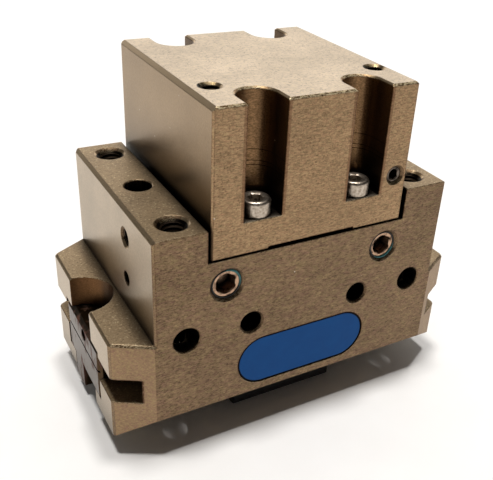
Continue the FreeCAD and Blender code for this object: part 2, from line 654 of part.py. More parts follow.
def make_jaw(label, side):
    """Base jaw: finger face below, neck, channel body and wings, slanting T-groove round the hook's rail."""
    body = new_body(label)
    face_low = "jaw_proud + cover_room"
    arm_low = "mouth_top + guide_gap"
    neck_top = f"{arm_low} + lap"
    relief_x = "rod_diameter / 2 + rod_room"
    relief_z = f"(hook_top - ({relief_x} - hook_top_width / 2 - wedge_gap) / {WEDGE})"

    def out(x):
        return f"{side} * ({x})"

    neck = sketch_on(body, "XZ_Plane")
    polygon(neck, [
        (out("jaw_foot_from"), "0"), (out(FOOT_END), "0"), (out(FOOT_END), neck_top),
        (out(core_side(neck_top, "wedge_gap")), neck_top),
        (out(core_side(face_low, "wedge_gap")), face_low), (out("jaw_foot_from"), face_low)])
    pad(body, neck, "mouth_width - 2 * channel_gap", both=True)
    channel = sketch_on(body, "XZ_Plane")
    polygon(channel, [
        (out(core_side(arm_low, "wedge_gap")), arm_low), (out(FOOT_END), arm_low),
        (out(FOOT_END), JAW_TOP), (out(relief_x), JAW_TOP), (out(relief_x), relief_z)])
    pad(body, channel, f"2 * {JAW_SIDE}", both=True)
    wings = sketch_on(body, "XZ_Plane")
    rectangle(wings, out("wing_from"), out("wing_to"), "wing_low + guide_gap", "wing_high - guide_gap")
    pad(body, wings, "wing_width - 2 * channel_gap", both=True)
    groove_low = "jaw_proud - overcut"
    groove_high = "channel_top + overcut"
    neck_groove = sketch_on(body, "XZ_Plane")
    slanted_strip(neck_groove, side, groove_low, groove_high, "-2 * overcut", "rail_step")
    pocket(body, neck_groove, "rail_neck + 2 * wedge_gap", both=True)
    head_groove = sketch_on(body, "XZ_Plane")
    slanted_strip(head_groove, side, groove_low, groove_high,
                  "rail_step - wedge_gap", "2 * rail_step + wedge_gap")
    pocket(body, head_groove, "rail_head + 2 * wedge_gap", both=True)
    screws = sketch_on(body, "XY_Plane")
    for end in (-1, 1):
        circle(screws, out(f"finger_bolt_x + {end} * finger_bolt_span / 2"), "0", "finger_bolt_bore")
    pocket(body, screws, "finger_bolt_depth", reverse=True)
    cam = sketch_on(body, "YZ_Plane", out(FOOT_END))
    circle(cam, f"{side} * cam_y", "cam_z", "cam_bore")
    pocket(body, cam, "cam_depth", reverse=side < 0)
    notch = sketch_on(body, "YZ_Plane", out(FOOT_END))
    rectangle(notch, f"{side} * mouth_width / 2", f"{-side} * end_notch_y", "-overcut", arm_low)
    pocket(body, notch, "end_notch", reverse=side < 0)
    chamfer(body, "jaw_end_edge", straight(x=FOOT_END, y=JAW_SIDE))
    line = sketch_on(body, "XZ_Plane")
    rectangle(line, out(f"{FOOT_END} - jaw_line"), out(f"{FOOT_END} + overcut"),
              "jaw_line_z", "jaw_line_z + jaw_line")
    pocket(body, line, "channel_width", both=True)
    chamfer(body, "fine_edge", mouth("z", "0", "finger_bolt_bore"))


def make_piston():
    """Disc with a seal groove, bored for its screw."""
    body = new_body("piston")
    radius = "(cylinder_bore / 2 - fit_gap)"
    groove_radius = f"{radius} - piston_groove_depth"
    hole_radius = "(rod_screw_thread + screw_room) / 2"
    groove_low = f"({PISTON_LOW} + (piston_height - piston_groove) / 2)"
    groove_high = f"({groove_low} + piston_groove)"
    section = sketch_on(body, "XZ_Plane")
    polygon(section, [
        (hole_radius, PISTON_LOW), (f"{radius} - piston_edge", PISTON_LOW),
        (radius, f"{PISTON_LOW} + piston_edge"), (radius, groove_low),
        (groove_radius, groove_low), (groove_radius, groove_high),
        (radius, groove_high), (radius, f"{PISTON_TOP} - piston_edge"),
        (f"{radius} - piston_edge", PISTON_TOP), (hole_radius, PISTON_TOP)])
    turn(body, section)


def make_lip_seal(label, inner, outer, z, groove):
    """Running seal about the Z axis: a ring with a notch between two lips, open upwards."""
    body = new_body(label)
    section = sketch_on(body, "XZ_Plane")
    low = f"{z} - ({groove} - seal_play) / 2"
    high = f"{z} + ({groove} - seal_play) / 2"
    polygon(section, [
        (inner, low), (outer, low), (outer, high), (f"{outer} - seal_lip", high),
        (f"({inner} + {outer}) / 2", z), (f"{inner} + seal_lip", high), (inner, high)])
    turn(body, section)


def make_seals():
    make_lip_seal("piston_seal", "(cylinder_bore / 2 - fit_gap - piston_groove_depth)",
                  "(cylinder_bore / 2 - seal_gap)", f"({PISTON_LOW} + piston_height / 2)", "piston_groove")
    make_lip_seal("rod_seal", "(rod_diameter / 2 + seal_gap)",
                  "(rod_diameter / 2 + seal_gap + rod_seal_width)", "rod_seal_z", "rod_seal_groove")
    body = new_body("cylinder_seal")
    ring = sketch_on(body, "XY_Plane", "recess_floor")
    circle(ring, "0", "0", "face_seal_diameter - face_seal_width")
    circle(ring, "0", "0", "face_seal_diameter + face_seal_width")
    pad(body, ring, "face_seal_height", reverse=True)


def make_cap_screw(label, thread, length, head, height, key, edge, x="0", y="0", z="0"):
    """Socket-head cap screw standing on its seat at z."""
    body = new_body(label)
    section = sketch_on(body, "XZ_Plane")
    polygon(section, [
        ("0", f"-({length})"), (f"{thread} / 2 - {edge}", f"-({length})"),
        (f"{thread} / 2", f"-({length}) + {edge}"), (f"{thread} / 2", "0"),
        (f"{head} / 2", "0"), (f"{head} / 2", f"{height} - {edge}"),
        (f"{head} / 2 - {edge}", height), ("0", height)])
    turn(body, section)
    socket = sketch_on(body, "XY_Plane", height)
    hexagon(socket, key)
    pocket(body, socket, f"{height} / 2")
    place(body, x, y, z)


def make_plug(label, thread, length, key, x, face_y, z):
    """Hexagon-socket plug screwed into a front face, its own face at face_y."""
    body = new_body(label)
    section = sketch_on(body, "XZ_Plane")
    polygon(section, [
        ("0", f"-({length})"), (f"{thread} / 2 - plug_edge", f"-({length})"),
        (f"{thread} / 2", f"-({length}) + plug_edge"), (f"{thread} / 2", "-plug_edge"),
        (f"{thread} / 2 - plug_edge", "0"), ("0", "0")])
    turn(body, section)
    socket = sketch_on(body, "XY_Plane")
    hexagon(socket, key)
    pocket(body, socket, f"{length} / 2")
    place(body, x, face_y, z, axis=(1, 0, 0), angle=90)


def make_fasteners():
    ends = {"front": -1, "rear": 1}
    sides = {"left": -1, "right": 1}
    for end, sy in ends.items():
        for side, sx in sides.items():
            make_cap_screw(
                f"block_screw_{end}_{side}", "cap_thread", "cap_length", "cap_head", "cap_height", "cap_key",
                "cap_edge", f"{sx} * screw_span_x / 2", f"{sy} * screw_span_y / 2", "slot_floor")
            make_cover_screw(f"cover_screw_{end}_{side}", f"{sx} * cover_screw_x", f"{sy} * cover_screw_y")
    make_cap_screw(
        "piston_screw", "rod_screw_thread", "rod_screw_length", "rod_screw_head", "rod_screw_height",
        "rod_screw_key", "cap_edge", z=PISTON_TOP)
    for side, sx in sides.items():
        make_plug(f"port_plug_{side}", "port_bore", "plug_length", "plug_key",
                  f"{sx} * port_span / 2", "-depth / 2 + plug_recess", "port_height")
    make_plug("vent_plug", "vent_bore", "vent_plug_length", "vent_plug_key",
              "vent_x", "-block_depth / 2 + vent_plug_recess", "vent_z")


def make_cover_screw(label, x, y):
    """Countersunk screw, head downwards and flush with the cover."""
    body = new_body(label)
    section = sketch_on(body, "XZ_Plane")
    cone = "(cover_screw_head - cover_screw) / 2"
    polygon(section, [
        ("0", "0"), ("cover_screw_head / 2", "0"), ("cover_screw / 2", cone),
        ("cover_screw / 2", "cover_screw_length"), ("0", "cover_screw_length")])
    turn(body, section)
    socket = sketch_on(body, "XY_Plane")
    hexagon(socket, "cover_key")
    pocket(body, socket, "cover_key_depth", reverse=True)
    place(body, x, y, "jaw_proud - cover_thickness")


def make_dust_cover():
    """Plate under the middle of the housing, between the finger faces."""
    body = new_body("dust_cover")
    low = "jaw_proud - cover_thickness"
    plan = sketch_on(body, "XY_Plane", low)
    cut_rectangle(plan, "cover_length / 2", "cover_depth / 2", "cover_edge")
    pad(body, plan, "cover_thickness")
    holes = sketch_on(body, "XY_Plane", low)
    for x, y in both_signs("cover_screw_x", "cover_screw_y"):
        circle(holes, x, y, "cover_screw")
    pocket(body, holes, "cover_thickness", reverse=True)
    chamfer(body, "(cover_screw_head - cover_screw) / 2", mouth("z", low, "cover_screw"))
    chamfer(body, "cover_edge", straight(z=STAND))


def make_name_plate():
    body = new_body("name_plate")
    face = sketch_on(body, "XZ_Plane", "-depth / 2 + plate_recess")
    stadium(face, (f"-{PLATE_END}", "plate_z"), (PLATE_END, "plate_z"), "plate_height - 2 * plate_gap")
    pad(body, face, "plate_thickness")


def make_spring_seat():
    body = new_body("spring_seat")
    plan = sketch_on(body, "XY_Plane", PISTON_TOP)
    circle(plan, "0", "0", "seat_outer")
    circle(plan, "0", "0", "seat_inner")
    pad(body, plan, "seat_thickness")


def make_closing_spring():
    """Compression spring of rectangular wire between its seat and the block, both ends ground flat."""
    length = f"(spring_bore_top - {SEAT_TOP})"
    rise = f"({length} - spring_wire_height + 2 * spring_ground)"
    low = f"({SEAT_TOP} - spring_ground)"
    body = new_body("closing_spring")
    section = sketch_on(body, "XZ_Plane")
    rectangle(section, "(spring_mean - spring_wire) / 2", "(spring_mean + spring_wire) / 2",
              low, f"{low} + spring_wire_height")
    coil = body.newObject("PartDesign::AdditiveHelix", "coil")
    coil.Profile = section
    coil.ReferenceAxis = (section, ["V_Axis"])
    coil.Mode = "pitch-height-angle"
    coil.Angle = 0
    coil.Growth = 0
    bind(coil, "Pitch", f"{rise} / spring_turns")
    bind(coil, "Height", rise)
    doc.recompute()
    for height, upwards in ((SEAT_TOP, False), ("spring_bore_top", True)):
        end = sketch_on(body, "XY_Plane", height)
        circle(end, "0", "0", "spring_bore")
        pocket(body, end, "spring_ground", reverse=upwards)


def sub_parts():
    """The finished pieces."""
    return [thing for thing in doc.Objects if thing.TypeId == "PartDesign::Body"]


def check(pieces):
    """Stop if anything failed to build."""
    for thing in doc.Objects:
        if "Invalid" in thing.State or "Error" in thing.State:
            raise RuntimeError(f"{thing.Label} of {thing.TypeId} is {thing.State}")
    for piece in pieces:
        if piece.Shape.isNull() or not piece.Shape.isValid() or len(piece.Shape.Solids) != 1:
            raise RuntimeError(f"{piece.Label} is not one sound solid")


make_housing()
make_spring_housing()
make_wedge_hook()
make_jaw("base_jaw_left", -1)
make_jaw("base_jaw_right", 1)
make_piston()
make_seals()
make_fasteners()
make_dust_cover()
make_name_plate()
make_spring_seat()
make_closing_spring()
doc.recompute()

pieces = sub_parts()
check(pieces)
os.makedirs("parts", exist_ok=True)
for piece in pieces:
    piece.Shape.exportStep(f"parts/{piece.Label}.step")
print(len(pieces), "pieces written")
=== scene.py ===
"""Looks of a pneumatic parallel gripper with a spring block on its back, standing on its dust cover.

The CAD pieces keep their shape and get finishes. The screws, plugs, plate and threads are worked out here
as whole arrays of points. Lengths are written in millimetres and become metres where they enter a mesh or
a node. X runs along the jaw stroke, Y through the depth and Z up, as in the CAD model.
"""
import json
import math

import bmesh
import bpy
import numpy as np
from mathutils import Matrix, Vector


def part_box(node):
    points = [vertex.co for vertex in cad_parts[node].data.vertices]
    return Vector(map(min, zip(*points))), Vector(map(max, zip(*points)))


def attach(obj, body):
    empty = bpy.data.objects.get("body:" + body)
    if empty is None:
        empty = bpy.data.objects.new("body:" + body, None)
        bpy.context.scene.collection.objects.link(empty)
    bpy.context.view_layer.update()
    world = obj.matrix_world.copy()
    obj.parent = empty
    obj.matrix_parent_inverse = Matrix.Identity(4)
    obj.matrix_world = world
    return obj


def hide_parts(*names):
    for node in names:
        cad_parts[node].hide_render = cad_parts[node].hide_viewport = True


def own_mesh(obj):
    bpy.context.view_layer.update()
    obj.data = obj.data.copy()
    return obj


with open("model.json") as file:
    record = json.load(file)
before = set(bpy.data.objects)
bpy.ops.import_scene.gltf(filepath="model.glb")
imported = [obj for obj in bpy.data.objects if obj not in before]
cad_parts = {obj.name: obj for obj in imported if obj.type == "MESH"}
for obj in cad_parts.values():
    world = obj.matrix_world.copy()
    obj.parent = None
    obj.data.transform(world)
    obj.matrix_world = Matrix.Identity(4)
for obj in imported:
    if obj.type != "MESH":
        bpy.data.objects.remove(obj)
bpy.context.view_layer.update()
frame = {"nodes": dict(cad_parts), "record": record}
nodes = frame["nodes"]
mounts = {mount["name"]: mount for mount in frame["record"]["mounts"]}

MM = 0.001
SHARP_ANGLE = math.radians(35)


def corner(node):
    """Lowest and highest corner of a CAD node, in millimetres."""
    low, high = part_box(node)
    return np.array(low) / MM, np.array(high) / MM


def per_mm(size):
    """Texture scale that makes one cell of a pattern this many millimetres wide."""
    return 1 / (size * MM)


def colour(code):
    """Linear colour of an sRGB hex code."""
    parts = [int(code[k:k + 2], 16) / 255 for k in (1, 3, 5)]
    return tuple(p / 12.92 if p <= 0.04045 else ((p + 0.055) / 1.055) ** 2.4 for p in parts) + (1.0,)


def add(tree, kind, *values, **named):
    """Add a node. Values go to its sockets in order, named ones to the property or else the socket of that
    name, where _ stands for a space. A node or an output socket is linked, and anything else is set."""
    made = tree.nodes.new(kind)
    sockets = {}
    for name, value in named.items():
        if name in made.bl_rna.properties:
            setattr(made, name, value)
        else:
            sockets[name.replace("_", " ")] = value
    usable = [socket for socket in made.inputs if socket.enabled]
    pairs = list(zip(usable, values))
    pairs += [(next(s for s in usable if s.name == name), value) for name, value in sockets.items()]
    for socket, value in pairs:
        if isinstance(value, bpy.types.Node):
            value = next(out for out in value.outputs if out.enabled)
        if isinstance(value, bpy.types.NodeSocket):
            tree.links.new(value, socket)
        else:
            socket.default_value = value
    return made


def new_finish(name):
    """An empty material: its node tree, and the object coordinates in it."""
    material = bpy.data.materials.new(name)
    material.use_nodes = True
    tree = material.node_tree
    tree.nodes.clear()
    place = add(tree, "ShaderNodeTexCoord").outputs["Object"]
    return material, tree, place


def close(tree, **sockets):
    """End a material's tree with the surface shader."""
    shader = add(tree, "ShaderNodeBsdfPrincipled", **sockets)
    add(tree, "ShaderNodeOutputMaterial", Surface=shader)


# Layers of the anodised finish

# Grit marks of about a tenth of a millimetre are drawn twice as coarse and drawn out, so that they show
GRIT = 0.22
GRIT_STRETCH = (0.32, 1.0, 1.0)
GRIT_DEPTH = 0.02
MOTTLE = 0.4
PIT = 0.38
CLOUD = 9.0
DUST_SPACING = 3.2
DUST_SHARE = 0.3
EDGE_ROUND = 0.28
RUB_REACH = 0.45
OIL_AND_SHADE_REACH = 5.0
SHADE_REACH = 16.0
RING_HALF = 0.07
# Parts of the normal along Y or X by which the feet's tapers and the bevels are told from other faces
TAPER_FACING = 0.866
BEVEL_SLOPE = 0.7
BEVEL_SPREAD = 0.12

# Among these are a painted glint, painted shade for hole mouths, front countersinks, the pocket border and
# hollows, and a pale tone of painted light for end bevels
PAINTED_GLINT = "#e4d3ae"
CONE_DIRT_AND_SHADE = "#2a1d14"
END_BEVEL_PAINTED_LIGHT = "#b39c7c"
HOLE_MOUTH_SHADE = "#0a0705"
RING_DARK = "#3a2a1b"
POCKET_CHAMFER_SHADE = "#6a4530"
CHIP_DULL = "#5a432c"
RUBBED_BROWN = "#513624"
CORNER_SHADE = "#2a2015"
OIL_AND_SHADE_BROWN = "#20160d"
DEEP_SHADE_BLACK = "#060403"
DUST_GREY = "#d8d0c4"
GLOSS_TINT = "#fdfaf5"


def face_masks(tree):
    """The normal, shares of how a point's face looks each way, and how open the space before it is."""
    normal = add(tree, "ShaderNodeNewGeometry").outputs["Normal"]
    facing = add(tree, "ShaderNodeSeparateXYZ", normal)
    frontal = add(tree, "ShaderNodeMath", facing.outputs["Y"], operation="ABSOLUTE")
    sideways = add(tree, "ShaderNodeMath", facing.outputs["X"], operation="ABSOLUTE")
    steep = add(tree, "ShaderNodeMath", facing.outputs["Z"], operation="ABSOLUTE")
    milled = add(tree, "ShaderNodeMapRange", frontal, 0.45, 0.2)
    level = add(tree, "ShaderNodeMapRange", facing.outputs["Z"], 0.85, 0.95)
    upright = add(tree, "ShaderNodeMapRange", steep, 0.2, 0.1)
    reach = add(tree, "ShaderNodeAmbientOcclusion", Distance=OIL_AND_SHADE_REACH * MM, samples=12).outputs["AO"]
    hollow = add(tree, "ShaderNodeMapRange", reach, 0.93, 0.82)
    up_slope = add(tree, "ShaderNodeMath", facing.outputs["Z"], 0.65, 0.2, operation="COMPARE")
    front_slope = add(tree, "ShaderNodeMath", frontal, BEVEL_SLOPE, BEVEL_SPREAD, operation="COMPARE")
    side_slope = add(tree, "ShaderNodeMath", sideways, BEVEL_SLOPE, BEVEL_SPREAD, operation="COMPARE")
    return {"normal": normal, "rightward": facing.outputs["X"], "frontal": frontal, "sideways": sideways,
            "milled": milled, "level": level, "upright": upright, "reach": reach, "hollow": hollow,
            "up_slope": up_slope, "front_slope": front_slope, "side_slope": side_slope}


def blasting_marks(tree, place):
    """Patterns that the layers share: grit and mottle drawn out along X, pits, and the light of clouds."""
    drawn_out = add(tree, "ShaderNodeMapping", place, Scale=GRIT_STRETCH)
    grain = add(tree, "ShaderNodeTexNoise", drawn_out, Scale=per_mm(GRIT), Detail=3.0, Roughness=0.75)
    mottle = add(tree, "ShaderNodeTexNoise", drawn_out, Scale=per_mm(MOTTLE), Detail=3.0, Roughness=0.7)
    pits = add(tree, "ShaderNodeTexNoise", place, Scale=per_mm(PIT), Detail=3.0, Roughness=0.6)
    cloud = add(tree, "ShaderNodeTexNoise", place, Scale=per_mm(CLOUD), Detail=4.0)
    cloud_light = add(tree, "ShaderNodeMapRange", cloud, 0.3, 0.7, 0.9, 1.1)
    return {"grain": grain, "mottle": mottle, "pits": pits, "cloud_light": cloud_light}


def blasted_front(tree, mask, marks, tones):
    """Fronts: two hues by turns, dark pits and a grain, calmer on the feet's tapers, which painted light
    makes paler.
    """
    contrast = tones["contrast"]
    tint = add(tree, "ShaderNodeMapRange", marks["mottle"], 0.2, 0.8)
    hue = add(tree, "ShaderNodeMix", tint, colour(tones["front"]), colour(tones["ruddy"]),
              data_type="RGBA")
    open_front = add(tree, "ShaderNodeMapRange", mask["frontal"], 0.9, 0.97, 0.25, 0.6)
    pit_depth = add(tree, "ShaderNodeMapRange", marks["pits"], 0.55, 0.72)
    pitted = add(tree, "ShaderNodeMath", pit_depth, open_front, operation="MULTIPLY")
    spotted = add(tree, "ShaderNodeMix", pitted, hue, colour(tones["pit"]), data_type="RGBA")
    taper = add(tree, "ShaderNodeMath", mask["frontal"], TAPER_FACING, 0.04, operation="COMPARE")
    tapered = add(tree, "ShaderNodeMath", taper, mask["upright"], operation="MULTIPLY")
    # Painted light: faces turned like the feet's tapers are made up to 1.4 times lighter
    taper_painted_light = add(tree, "ShaderNodeMapRange", tapered, 0.0, 1.0, 1.0, 1.4)
    swing = add(tree, "ShaderNodeMapRange", marks["grain"], 0.3, 0.7, -contrast, contrast)
    calm = add(tree, "ShaderNodeMapRange", tapered, 0.0, 1.0, 1.0, 0.35)
    grain_light = add(tree, "ShaderNodeMath", swing, calm, 1.0, operation="MULTIPLY_ADD")
    light = add(tree, "ShaderNodeMath", grain_light, taper_painted_light, operation="MULTIPLY")
    return add(tree, "ShaderNodeVectorMath", spotted, operation="SCALE", Scale=light)


def milled_faces(tree, mask, marks, tones):
    """Ends and tops from the milling cutter: even ends, and tops with painted glints and dull pits, each
    in a tone that is partly painted light.
    """
    # Painted glints: bright specks on the tops in the pattern of the pits
    sparkle = add(tree, "ShaderNodeMapRange", marks["pits"], 0.6, 0.68, 0.0, 0.75)
    lit = add(tree, "ShaderNodeMix", sparkle, colour(tones["top"]), colour(PAINTED_GLINT), data_type="RGBA")
    dulled = add(tree, "ShaderNodeMapRange", marks["pits"], 0.44, 0.34, 0.0, 0.4)
    grained = add(tree, "ShaderNodeMix", dulled, lit, colour(tones["pit"]), data_type="RGBA")
    # Tops and ends get tones of their own by how they face: partly their finish, partly painted light
    tone = add(tree, "ShaderNodeMix", mask["level"], colour(tones["end"]), grained, data_type="RGBA")
    light = add(tree, "ShaderNodeMapRange", marks["mottle"], 0.35, 0.65, 0.9, 1.1)
    return add(tree, "ShaderNodeVectorMath", tone, operation="SCALE", Scale=light)


def sloped_edges(tree, mask, folded, skin, tones, hole):
    """Countersinks in tops in a tone of painted light, black with painted shade at the hole's mouth; ones
    in fronts darkened by dirt and painted shade; and end bevels in a pale brown of painted light.
    """
    axis, black = Vector((*hole["axis"], 0)) * MM, hole["black"]
    # Painted light: countersinks in tops, where hollow, take a tone of their own, dark in the housing and
    # golden in the block
    up_cone = add(tree, "ShaderNodeMath", mask["up_slope"], mask["hollow"], operation="MULTIPLY")
    lipped = add(tree, "ShaderNodeMix", up_cone, skin, colour(tones["countersink"]), data_type="RGBA")
    # Countersinks in fronts, where hollow, are darkened with dirt and painted shade
    front_cone = add(tree, "ShaderNodeMath", mask["front_slope"], mask["hollow"], operation="MULTIPLY")
    sunken = add(tree, "ShaderNodeMath", front_cone, 0.7, operation="MULTIPLY")
    dirt_and_shade = add(tree, "ShaderNodeMix", sunken, lipped, colour(CONE_DIRT_AND_SHADE), data_type="RGBA")
    # Painted light: bevels between ends and tops take a pale brown tone for how they face the light
    end_bevel = add(tree, "ShaderNodeMath", mask["side_slope"], mask["up_slope"], operation="MULTIPLY")
    bevelled = add(tree, "ShaderNodeMix", end_bevel, dirt_and_shade, colour(END_BEVEL_PAINTED_LIGHT), data_type="RGBA")
    # Painted shade: near a hole's axis the countersink is painted black, as the shade in the hole's mouth
    from_hole = add(tree, "ShaderNodeVectorMath", folded, axis, operation="SUBTRACT")
    in_plan = add(tree, "ShaderNodeVectorMath", from_hole, (1, 1, 0), operation="MULTIPLY")
    off_axis = add(tree, "ShaderNodeVectorMath", in_plan, operation="LENGTH").outputs["Value"]
    inner = add(tree, "ShaderNodeMapRange", off_axis, (black + 0.1) * MM, (black - 0.05) * MM)
    hole_mouth = add(tree, "ShaderNodeMath", inner, mask["up_slope"], operation="MULTIPLY")
    return add(tree, "ShaderNodeMix", hole_mouth, bevelled, colour(HOLE_MOUTH_SHADE), data_type="RGBA")


def milled_pocket(tree, mask, marks, folded, height, skin, tones, pocket):
    """Pocket left from the end mill: brown, with tool marks and rings, painted shade on its far side, and
    a ruddy border on the front painted as the shade of a narrow chamfer. The mask of what lies inside
    comes with it."""
    # In an open direction the pocket runs on outwards. In a shut one nothing is cut off within a metre
    limit = (0 if pocket["open_x"] else 1.0, 0 if pocket["open_y"] else 1.0, 0)
    radius = pocket["radius"]
    axis = Vector((*pocket["axis"], 0)) * MM
    from_axis = add(tree, "ShaderNodeVectorMath", folded, axis, operation="SUBTRACT")
    closed = add(tree, "ShaderNodeVectorMath", from_axis, limit, operation="MINIMUM")
    in_plan = add(tree, "ShaderNodeVectorMath", closed, (1, 1, 0), operation="MULTIPLY")
    away = add(tree, "ShaderNodeVectorMath", in_plan, operation="LENGTH").outputs["Value"]
    within = add(tree, "ShaderNodeMapRange", away, (radius + 0.12) * MM, (radius + 0.04) * MM)
    raised = add(tree, "ShaderNodeMath", height, pocket["floor"] * MM, operation="GREATER_THAN")
    inside = add(tree, "ShaderNodeMath", within, raised, operation="MULTIPLY")

    ringed = 0.0
    for ring in pocket["rings"]:
        ring_here = add(tree, "ShaderNodeMath", height, ring * MM, RING_HALF * MM, operation="COMPARE")
        ringed = add(tree, "ShaderNodeMath", ringed, ring_here, operation="MAXIMUM")
    cut = add(tree, "ShaderNodeMix", ringed, colour(tones["pocket"]), colour(RING_DARK), data_type="RGBA")
    tooling, far_wall_shade = pocket["tooling"], pocket["far_wall_shade"]
    # Painted shade: walls of the pocket that face towards -X are darkened
    side_shade = add(tree, "ShaderNodeMapRange", mask["rightward"], -0.85, -0.35, far_wall_shade, 1.0)
    tool_light = add(tree, "ShaderNodeMapRange", marks["grain"], 0.3, 0.7, 1 - tooling, 1 + tooling)
    light = add(tree, "ShaderNodeMath", tool_light, side_shade, operation="MULTIPLY")
    tone = add(tree, "ShaderNodeVectorMath", cut, operation="SCALE", Scale=light)
    bored = add(tree, "ShaderNodeMix", inside, skin, tone, data_type="RGBA")

    # A ruddy border on the front round the pocket, painted as the shade of a narrow chamfer at its edge
    beside = add(tree, "ShaderNodeMath", away, (radius + 0.3) * MM, 0.3 * MM, operation="COMPARE")
    border = add(tree, "ShaderNodeMath", beside, raised, operation="MULTIPLY")
    in_front = add(tree, "ShaderNodeMapRange", mask["frontal"], 0.9, 0.97, 0.0, 0.5)
    ruddy = add(tree, "ShaderNodeMath", border, in_front, operation="MULTIPLY")
    return add(tree, "ShaderNodeMix", ruddy, bored, colour(POCKET_CHAMFER_SHADE), data_type="RGBA"), inside


def rubbed_edges(tree, mask, marks, skin, tones):
    """Edges rubbed brown in flakes, and chipped to golden metal between tops and fronts. The metallic
    share comes with it: chips are drawn less metallic than they are, so that they show from every side."""
    rounded = add(tree, "ShaderNodeBevel", Radius=RUB_REACH * MM, samples=8)
    same_way = add(tree, "ShaderNodeVectorMath", rounded, mask["normal"], operation="DOT_PRODUCT")
    bent = add(tree, "ShaderNodeMapRange", same_way.outputs["Value"], 0.985, 0.9)
    ahead_slope = add(tree, "ShaderNodeMath", mask["up_slope"], mask["front_slope"], operation="MULTIPLY")
    open_air = add(tree, "ShaderNodeMath", 1.0, mask["hollow"], operation="SUBTRACT")
    front_bevel = add(tree, "ShaderNodeMath", ahead_slope, open_air, operation="MULTIPLY")
    edge = add(tree, "ShaderNodeMath", bent, front_bevel, operation="MAXIMUM")
    flakes = add(tree, "ShaderNodeMapRange", marks["pits"], 0.36, 0.46)
    rubbed = add(tree, "ShaderNodeMath", edge, flakes, operation="MULTIPLY")

    lean = add(tree, "ShaderNodeSeparateXYZ", rounded)
    on_top = add(tree, "ShaderNodeMapRange", lean.outputs["Z"], 0.1, 0.3)
    ahead = add(tree, "ShaderNodeMath", lean.outputs["Y"], operation="ABSOLUTE")
    to_front = add(tree, "ShaderNodeMapRange", ahead, 0.1, 0.3)
    front_edge = add(tree, "ShaderNodeMath", on_top, to_front, operation="MULTIPLY")
    gleam = add(tree, "ShaderNodeMapRange", marks["grain"], 0.44, 0.54)
    chips = add(tree, "ShaderNodeMix", gleam, colour(CHIP_DULL), colour(tones["chip"]), data_type="RGBA")
    rub = add(tree, "ShaderNodeMix", front_edge, colour(RUBBED_BROWN), chips, data_type="RGBA")
    worn = add(tree, "ShaderNodeMix", rubbed, skin, rub, data_type="RGBA")
    chipped = add(tree, "ShaderNodeMath", rubbed, front_edge, operation="MULTIPLY")
    bare = add(tree, "ShaderNodeMath", chipped, gleam, operation="MULTIPLY")
    return worn, add(tree, "ShaderNodeMapRange", bare, 0.0, 1.0, 0.95, 0.3)


def oil_and_painted_shade(tree, mask, skin, inside):
    """A broad painted shade on the ends towards inner corners, then oil and painted shade in what is
    narrow, and painted shade black where it is deep. Pockets get less of both than holes."""
    broad = add(tree, "ShaderNodeAmbientOcclusion", Distance=SHADE_REACH * MM, samples=12)
    shade = add(tree, "ShaderNodeMapRange", broad.outputs["AO"], 0.95, 0.55, 0.0, 0.8)
    on_end = add(tree, "ShaderNodeMapRange", mask["sideways"], 0.8, 0.9)
    shaded = add(tree, "ShaderNodeMath", shade, on_end, operation="MULTIPLY")
    dim = add(tree, "ShaderNodeMix", shaded, skin, colour(CORNER_SHADE), data_type="RGBA")
    # Oil and painted shade darken what is narrow, less in pockets
    settled = add(tree, "ShaderNodeMapRange", mask["reach"], 0.82, 0.48, 0.0, 0.94)
    less_in_pockets = add(tree, "ShaderNodeMapRange", inside, 0.0, 1.0, 1.0, 0.7)
    oil_and_shade_share = add(tree, "ShaderNodeMath", settled, less_in_pockets, operation="MULTIPLY")
    oil_and_shade = add(tree, "ShaderNodeMix", oil_and_shade_share, dim, colour(OIL_AND_SHADE_BROWN), data_type="RGBA")
    # Painted shade: what is deep turns black, far less in pockets
    deep = add(tree, "ShaderNodeMapRange", mask["reach"], 0.5, 0.32)
    far_less_in_pockets = add(tree, "ShaderNodeMapRange", inside, 0.0, 1.0, 1.0, 0.2)
    blackened = add(tree, "ShaderNodeMath", deep, far_less_in_pockets, operation="MULTIPLY")
    return add(tree, "ShaderNodeMix", blackened, oil_and_shade, colour(DEEP_SHADE_BLACK), data_type="RGBA")


def loose_dust(tree, place, skin):
    """A few pale grains of dust, each at most a quarter of a millimetre wide."""
    dust = add(tree, "ShaderNodeTexVoronoi", place, Scale=per_mm(DUST_SPACING))
    near = add(tree, "ShaderNodeMath", dust.outputs["Distance"], 0.036, operation="LESS_THAN")
    chance = add(tree, "ShaderNodeSeparateXYZ", dust.outputs["Color"]).outputs["X"]
    chosen = add(tree, "ShaderNodeMath", chance, 1 - DUST_SHARE, operation="GREATER_THAN")
    dusty = add(tree, "ShaderNodeMath", near, chosen, operation="MULTIPLY")
    return add(tree, "ShaderNodeMix", dusty, skin, colour(DUST_GREY), data_type="RGBA")


# Finishes

